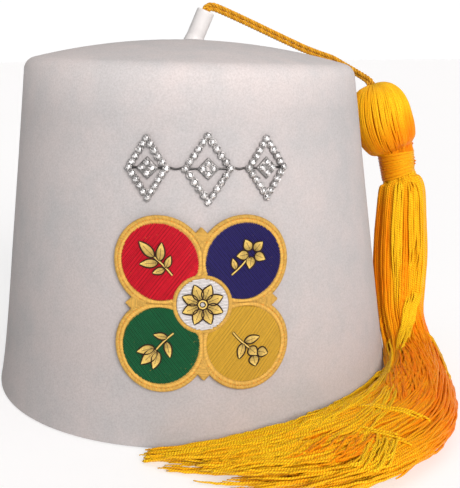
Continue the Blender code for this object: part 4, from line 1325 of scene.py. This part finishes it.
class FEZ_OT_emblem(bpy.types.Operator):
    """Embroidered emblem: cloth backing, double satin border, stitched fields and gold motifs"""
    bl_idname = "fez.emblem"
    bl_label = "Emblem"

    def execute(self, context):
        settings = context.scene.fez_emblem
        rng = np.random.default_rng(EMBLEM_SEED)
        self.backing(settings)
        self.border(settings, rng)
        for colour in LOBES:
            self.field(settings, colour, rng)
        self.centre(settings, rng)
        self.motifs(settings, rng)
        return {"FINISHED"}

    def backing(self, settings):
        low, high = CLOTH
        weave = Weave()
        levels = ((0.5, 0, low), (1, 0, low), (1, 0.0001, (low + high) / 2), (1, 0, high), (0.9, 0, high),
                  (0.5, 0, high))
        plate(weave, lambda angle: emblem_reach(angle, 0.0004), levels, 0.5)
        backing = weave.make("emblem_backing", twill_finish(settings.cloth), "backing")
        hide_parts("patch_backing")

    def border(self, settings, rng):
        low, high = BORDER
        base = low + 0.62 * (high - low)
        weave, dashes = Weave(), Weave()
        levels = ((0.5, 0, low), (1, -0.0003, low), (1, -0.0001, (low + base) / 2), (1, -0.0004, base),
                  (0.8, 0, base), (0.4, 0, base))
        plate(weave, emblem_reach, levels, 0.3)
        radius, step = settings.row_pitch * SATIN_RADIUS, settings.row_pitch * SATIN_STEP
        split, field = LOBE_RADIUS - 0.52 * BORDER_WIDTH, LOBE_RADIUS - BORDER_WIDTH
        count = int(2 * math.pi * LOBE_RADIUS / step)
        for quarter in LOBES.values():
            centre = np.array(quarter) * LOBE_OFFSET
            angle = around(count, rng.uniform(-0.12, 0.12, count))
            for near, far, top, shade in ((split, LOBE_RADIUS, 0.95, 0.42), (field, split, 0.85, 0.66)):
                start, end = self.trimmed(centre + rays(angle - SATIN_SLANT) * near,
                                          centre + rays(angle + SATIN_SLANT) * far, quarter)
                keep = (np.linalg.norm(end - start, axis=1) > 0.0004) & (
                    np.linalg.norm((start + end) / 2, axis=1) > CENTRE_RADIUS + 0.8 * HUB_BORDER)
                stitches(weave, start[keep], end[keep], radius, base - 0.0001, low + (high - low) * top,
                         shade + rng.uniform(-0.22, 0.22, keep.sum()))
        self.barbs(settings, weave, rng, base)
        hub = around(int(2 * math.pi * CENTRE_RADIUS / step))
        stitches(weave, rays(hub - SATIN_SLANT) * CENTRE_RADIUS,
                 rays(hub + SATIN_SLANT) * (CENTRE_RADIUS + HUB_BORDER), radius, base - 0.0001, high,
                 0.5 + rng.uniform(-0.2, 0.2, len(hub)))
        border = weave.make("emblem_border", thread_finish("satin_gold", settings.gold), "border")
        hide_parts("patch_border")
        for quarter in LOBES.values():
            angle = around(DASHES, rng.uniform(-0.3, 0.3, DASHES))
            start, end = (np.array(quarter) * LOBE_OFFSET + rays(angle + k) * split for k in (-0.012, 0.022))
            keep = (np.abs(start).min(1) > 0.0012) & (np.linalg.norm(start, axis=1) > CENTRE_RADIUS + 0.0022)
            stitches(dashes, start[keep], end[keep], 0.00014, base, high - 0.00008,
                     rng.uniform(0.2, 0.8, keep.sum()))
        dashes.make("emblem_dashes", thread_finish("thread_orange", settings.orange), "border")

    def trimmed(self, start, end, quarter):
        """Pull the ends of stitches back to the lines between the lobes."""
        limit = 0.00012
        for k, sign in enumerate(quarter):
            depth_start, depth_end = start[:, k] * sign - limit, end[:, k] * sign - limit
            apart = np.where(depth_start == depth_end, 1, depth_start - depth_end)
            crossing = start + (end - start) * np.clip(depth_start / apart, 0, 1)[:, None]
            end = np.where((depth_end < 0)[:, None], crossing, end)
            start = np.where((depth_start < 0)[:, None], crossing, start)
        return start, end

    def barbs(self, settings, weave, rng, base):
        """Satin stitches across the four points between the lobes."""
        inner = LOBE_OFFSET + math.sqrt(LOBE_RADIUS ** 2 - LOBE_OFFSET ** 2)
        places = np.arange(inner - 0.0016, BARB_REACH - 0.0002, settings.row_pitch * SATIN_STEP)
        chord = LOBE_OFFSET - np.sqrt(np.maximum(LOBE_RADIUS ** 2 - (places - LOBE_OFFSET) ** 2, 0))
        half = np.maximum(BARB_REACH - places, 0.0002)
        half = np.where(places < inner + 0.0012, np.minimum(half, np.maximum(chord + 0.0012, 0.0004)), half)
        for quarter in range(4):
            start, end = (turned(np.stack([places + sign * 0.0003, sign * half], -1), quarter * math.pi / 2)
                          for sign in (-1, 1))
            stitches(weave, start, end, settings.row_pitch * SATIN_RADIUS, base - 0.0002, BORDER[1] - 0.00005,
                     0.45 + rng.uniform(-0.2, 0.2, len(places)))

    def field(self, settings, colour, rng):
        low, high = FIELD
        quarter = LOBES[colour]
        way = math.radians(38) * quarter[0] * quarter[1] + math.pi / 2
        rows = fill_rows(np.array(quarter) * LOBE_OFFSET, LOBE_RADIUS - BORDER_WIDTH - 0.0001,
                         settings.row_pitch, way, CENTRE_RADIUS + HUB_BORDER)
        weave = Weave()
        sew_rows(weave, rows, settings.row_pitch, low + 0.0004, high, rng)
        node, spread = ("gold", 0.22) if colour == "yellow" else (colour, 0.35)
        thread = thread_finish(f"thread_{node}", getattr(settings, colour), spread)
        field = weave.make(f"emblem_field_{node}", thread, f"thread_{node}")
        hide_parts(f"patch_field_{node}")

    def centre(self, settings, rng):
        low, high = CENTRE
        weave = Weave()
        rows = fill_rows(np.zeros(2), CENTRE_RADIUS - 0.0001, settings.row_pitch, math.radians(8), 0.0)
        sew_rows(weave, rows, settings.row_pitch, low + 0.0004, high, rng)
        thread = thread_finish("thread_white", settings.white, 0.2)
        centre = weave.make("emblem_centre", thread, "thread_white")
        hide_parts("patch_centre")

    def motifs(self, settings, rng):
        """A leaf or flower in gold on each field and a rosette on the centre, outlined in dark thread."""
        gold, dark = Weave(), Weave()
        for colour, (across, up) in LOBES.items():
            middle = np.array([across, up]) * LOBE_OFFSET * 1.06
            lean = math.atan2(up, across) - math.pi / 2
            ends, *petals = MOTIF_SEWING[colour]
            path = np.stack([0.0003 * np.sin(np.linspace(0, 3, 12)), np.linspace(*ends, 12)], -1)
            for thread, radius, out, tint in ((dark, 0.00062, 0.00010, 0.5), (gold, 0.00030, 0.00022, 0.6)):
                line_on_wall(thread, middle + turned(path, lean), radius, FIELD[1] + out, tint,
                             flat=0.4 if thread is dark else 0.85)
            for *base, degrees, length, half in petals:
                self.petal(gold, dark, rng, middle + turned(np.array(base), lean),
                           lean + math.radians(degrees), length, half, FIELD[1], settings.row_pitch)
        for k in range(8):
            way = math.radians(22.5 + 45 * k)
            self.petal(gold, dark, rng, rays(np.array(way)) * 0.0017, way, 0.0058, 0.00185, CENTRE[1],
                       settings.row_pitch)
        ring = rays(np.linspace(0, 2 * math.pi, 25))
        for thread, radius, thick, out, tint in ((dark, 0.0018, 0.00018, 0.00028, 0.5),
                                                 (dark, 0.0009, 0.00018, 0.00030, 0.5),
                                                 (gold, 0.00132, 0.00036, 0.00018, 0.6)):
            line_on_wall(thread, ring * radius, thick, CENTRE[1] + out, tint)
        gold.make("emblem_motifs", thread_finish("motif_gold", settings.motif, 0.5), "border")
        dark.make("emblem_outlines", thread_finish("thread_dark", settings.dark), "border")

    def petal(self, gold, dark, rng, base, way, length, half, top, pitch):
        ahead, side = rays(np.array(way)), rays(np.array(way + math.pi / 2))

        def spots(share, reach):
            return base + ahead * (share * length)[:, None] + side * reach[:, None]

        share = np.arange(0.04, 0.99, pitch * 0.66 / length)
        far_share = np.clip(share + 0.4 * half / length, 0, 0.98)
        start, end = (spots(part, sign * np.maximum(petal_width(part), 0.12) * half)
                      for part, sign in ((share, -1), (far_share, 1)))
        stitches(gold, start, end, pitch * 0.42, top, top + 0.00036,
                 0.02 + 0.80 * share + rng.uniform(-0.12, 0.12, len(share)))
        share = np.linspace(0, 1, 15)
        edge = petal_width(share) * half + 0.00008
        outline = np.concatenate([spots(share, -edge), spots(share, edge)[::-1]])
        line_on_wall(dark, outline, 0.00027, top + 0.00026, 0.5)
        line_on_wall(dark, spots(np.linspace(0.08, 0.72, 6), np.zeros(6)), 0.00016, top + 0.00036, 0.5)


STRIP = (0.0003, 0.0012)            # the setting strip's heights off the felt
STRIP_PROFILE = (                   # round its section: out from the middle line, and height against its top
    (-1, None), (1, None), (1, -0.0002), (0.93, 0.0),           # None is the strip's underside
    (0.5, 0.0001), (-0.5, 0.0001), (-0.93, 0.0), (-1, -0.0002),
)
CUP_PROFILE = ((0.9, -0.0004), (1.08, -0.0004), (1.13, 0.0005), (1.05, 0.00064), (0.95, 0.0005))
PRONG_PROFILE = ((1.12, 0.0002), (1.12, 0.0006), (0.98, 0.00086), (0.8, 0.0009))
LOZENGE_POINTS, FACETS = 160, 8


class FEZ_OT_trim(bpy.types.Operator):
    """Three lozenges of cut stones in silver cups, joined by thin wires"""
    bl_idname = "fez.trim"
    bl_label = "Stone trim"

    def execute(self, context):
        settings = context.scene.fez_trim
        rng = np.random.default_rng(TRIM_SEED)
        strips, cups, stones, wires = Weave(), Weave(), Weave(), Weave()
        low, high = STRIP
        for across, half_across, half_up in MOTIFS:
            grow = (STRIP_WIDTH / 2 - 0.00055) * math.hypot(half_across, half_up) / (half_across * half_up)
            angle = around(LOZENGE_POINTS)
            reach = rays(angle) * lozenge_reach(angle, half_across, half_up)[:, None]
            rows = [on_wall(reach * (1 + grow * out) + (across, 0), low if lift is None else high + lift,
                            TRIM)[0] for out, lift in STRIP_PROFILE]
            strips.sheet(np.array(rows), loop=True)
            levels = ((0.5, 0, low), (1, 0, low), (1, 0, high - 0.0002), (0.93, 0, high), (0.5, 0, high))
            plate(strips, lambda a: lozenge_reach(a, 0.0040, 0.0040), levels, 0.5, (across, 0.0), TRIM)
            bar = np.stack([np.linspace(-half_across, half_across, 14) + across, np.zeros(14)], -1)
            line_on_wall(wires, bar, 0.0004, low + 0.0003, 0.4, TRIM)
            for spot in self.places(across, half_across, half_up):
                self.stone(settings, rng, cups, stones, spot)
        for left, right in zip(MOTIFS, MOTIFS[1:]):
            share = np.linspace(0, 1, 12)
            start, end = left[0] + left[1], right[0] - right[1]
            link = np.stack([start + (end - start) * share, 0.0002 * np.sin(share * 3 * math.pi)], -1)
            line_on_wall(wires, link, 0.00042, low + 0.0003, 0.3, TRIM)
        cups_piece = cups.make("trim_cups", metal_finish("cup_silver", settings.silver, 0.34), "stones")
        strips.make("trim_strips", metal_finish("strip_silver", shaded(settings.silver, 0.62), 0.5), "stones")
        stones_piece = stones.make("trim_stones", stone_finish(settings.glass), "stones", smooth=False)
        wires.make("trim_wires", metal_finish("wire_dark", shaded(settings.silver, 0.22), 0.4), "stones")
        for piece in (cups_piece, stones_piece):
            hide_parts("stone_trim")
        return {"FINISHED"}

    def places(self, across, half_across, half_up):
        """Places of a lozenge's stones: five to a side and four in the middle."""
        corners = np.array([(half_across, 0), (0, half_up), (-half_across, 0), (0, -half_up)])
        share = np.arange(STONES_PER_SIDE)[:, None] / STONES_PER_SIDE
        edges = [a + (b - a) * share for a, b in zip(corners, np.roll(corners, -1, axis=0))]
        middle = CLUSTER_OFFSET * np.array([(1, 0), (0, 1), (-1, 0), (0, -1)])
        return np.concatenate([*edges, middle]) + (across, 0)

    def stone(self, settings, rng, cups, stones, spot):
        """One faceted stone in its cup, a little out of true as soldered ones are."""
        radius = settings.stone_radius
        place, normal = on_wall(spot, STRIP[1] - 0.0002, TRIM)
        normal = unit(normal + rng.uniform(-0.16, 0.16, 3))
        level = square_to(UP, normal)
        wide = np.cross(level, normal)
        start = rng.uniform(0, 2 * math.pi)

        def ring(size, lift, count, shift=0.0):
            return place + normal * lift + size * spokes(start + around(count, shift), wide, level)

        cup, prongs = ([ring(radius * size, lift, count) for size, lift in profile]
                       for profile, count in ((CUP_PROFILE, 12), (PRONG_PROFILE, 4)))
        cups.sheet(np.array(cup), tints=rng.uniform(0.1, 0.9), loop=True)
        cups.tubes(np.stack(prongs, 1), 0.00017, rng.uniform(0.3, 1.0), sides=5)
        points = np.concatenate([ring(radius, 0.0005, FACETS), ring(radius * 0.82, 0.0009, FACETS, 0.5),
                                 ring(radius * 0.55, 0.00118, FACETS)])
        girdle = np.arange(FACETS)
        kite, table, after = girdle + FACETS, girdle + 2 * FACETS, (girdle + 1) % FACETS
        facets = [np.stack(corners, -1) for corners in (
            (girdle, after, kite), (after, after + 2 * FACETS, kite), (girdle, kite, table),
            (kite, after + 2 * FACETS, table))]
        # Each facet's random place in the thread map picks its painted reflection, from dark to bright; the
        # table's is lighter, the underside darkest.
        maps = [np.broadcast_to(rng.uniform(0, 1, (FACETS, 1, 1)), (FACETS, 3, 2)) for _ in facets]
        facets += [table[None], girdle[None, ::-1]]
        maps += [np.full((1, FACETS, 2), rng.uniform(0.5, 1.0)), np.zeros((1, FACETS, 2))]
        stones.add(points, 0.5, facets, maps)


# -------------------- panel and registration
SETTINGS = (("fez_stage", StageSettings), ("fez_cord", CordSettings), ("fez_felt", FeltSettings),
            ("fez_stem", StemSettings), ("fez_yarn", YarnSettings), ("fez_emblem", EmblemSettings),
            ("fez_trim", TrimSettings))
OPERATORS = (FEZ_OT_stage, FEZ_OT_cord, FEZ_OT_felt, FEZ_OT_stem, FEZ_OT_tassel, FEZ_OT_binding,
             FEZ_OT_emblem, FEZ_OT_trim)


class FEZ_PT_panel(bpy.types.Panel):
    """The hat's pieces and their sizes and colours"""
    bl_label = "Fez Hat"
    bl_space_type = "VIEW_3D"
    bl_region_type = "UI"
    bl_category = "Fez"

    def draw(self, context):
        for operator in OPERATORS:
            self.layout.operator(operator.bl_idname)
        for name, group in SETTINGS:
            box = self.layout.box()
            box.label(text=group.__doc__)
            for prop in group.__annotations__:
                box.prop(getattr(context.scene, name), prop)


def register():
    for name, group in SETTINGS:
        bpy.utils.register_class(group)
        setattr(bpy.types.Scene, name, PointerProperty(type=group))
    for thing in (*OPERATORS, FEZ_PT_panel):
        bpy.utils.register_class(thing)


def unregister():
    for thing in (FEZ_PT_panel, *reversed(OPERATORS)):
        bpy.utils.unregister_class(thing)
    for name, group in reversed(SETTINGS):
        delattr(bpy.types.Scene, name)
        bpy.utils.unregister_class(group)


def main():
    register()
    for operator in OPERATORS:
        group, name = operator.bl_idname.split(".")
        getattr(getattr(bpy.ops, group), name)()


if __name__ == "__main__":
    main()
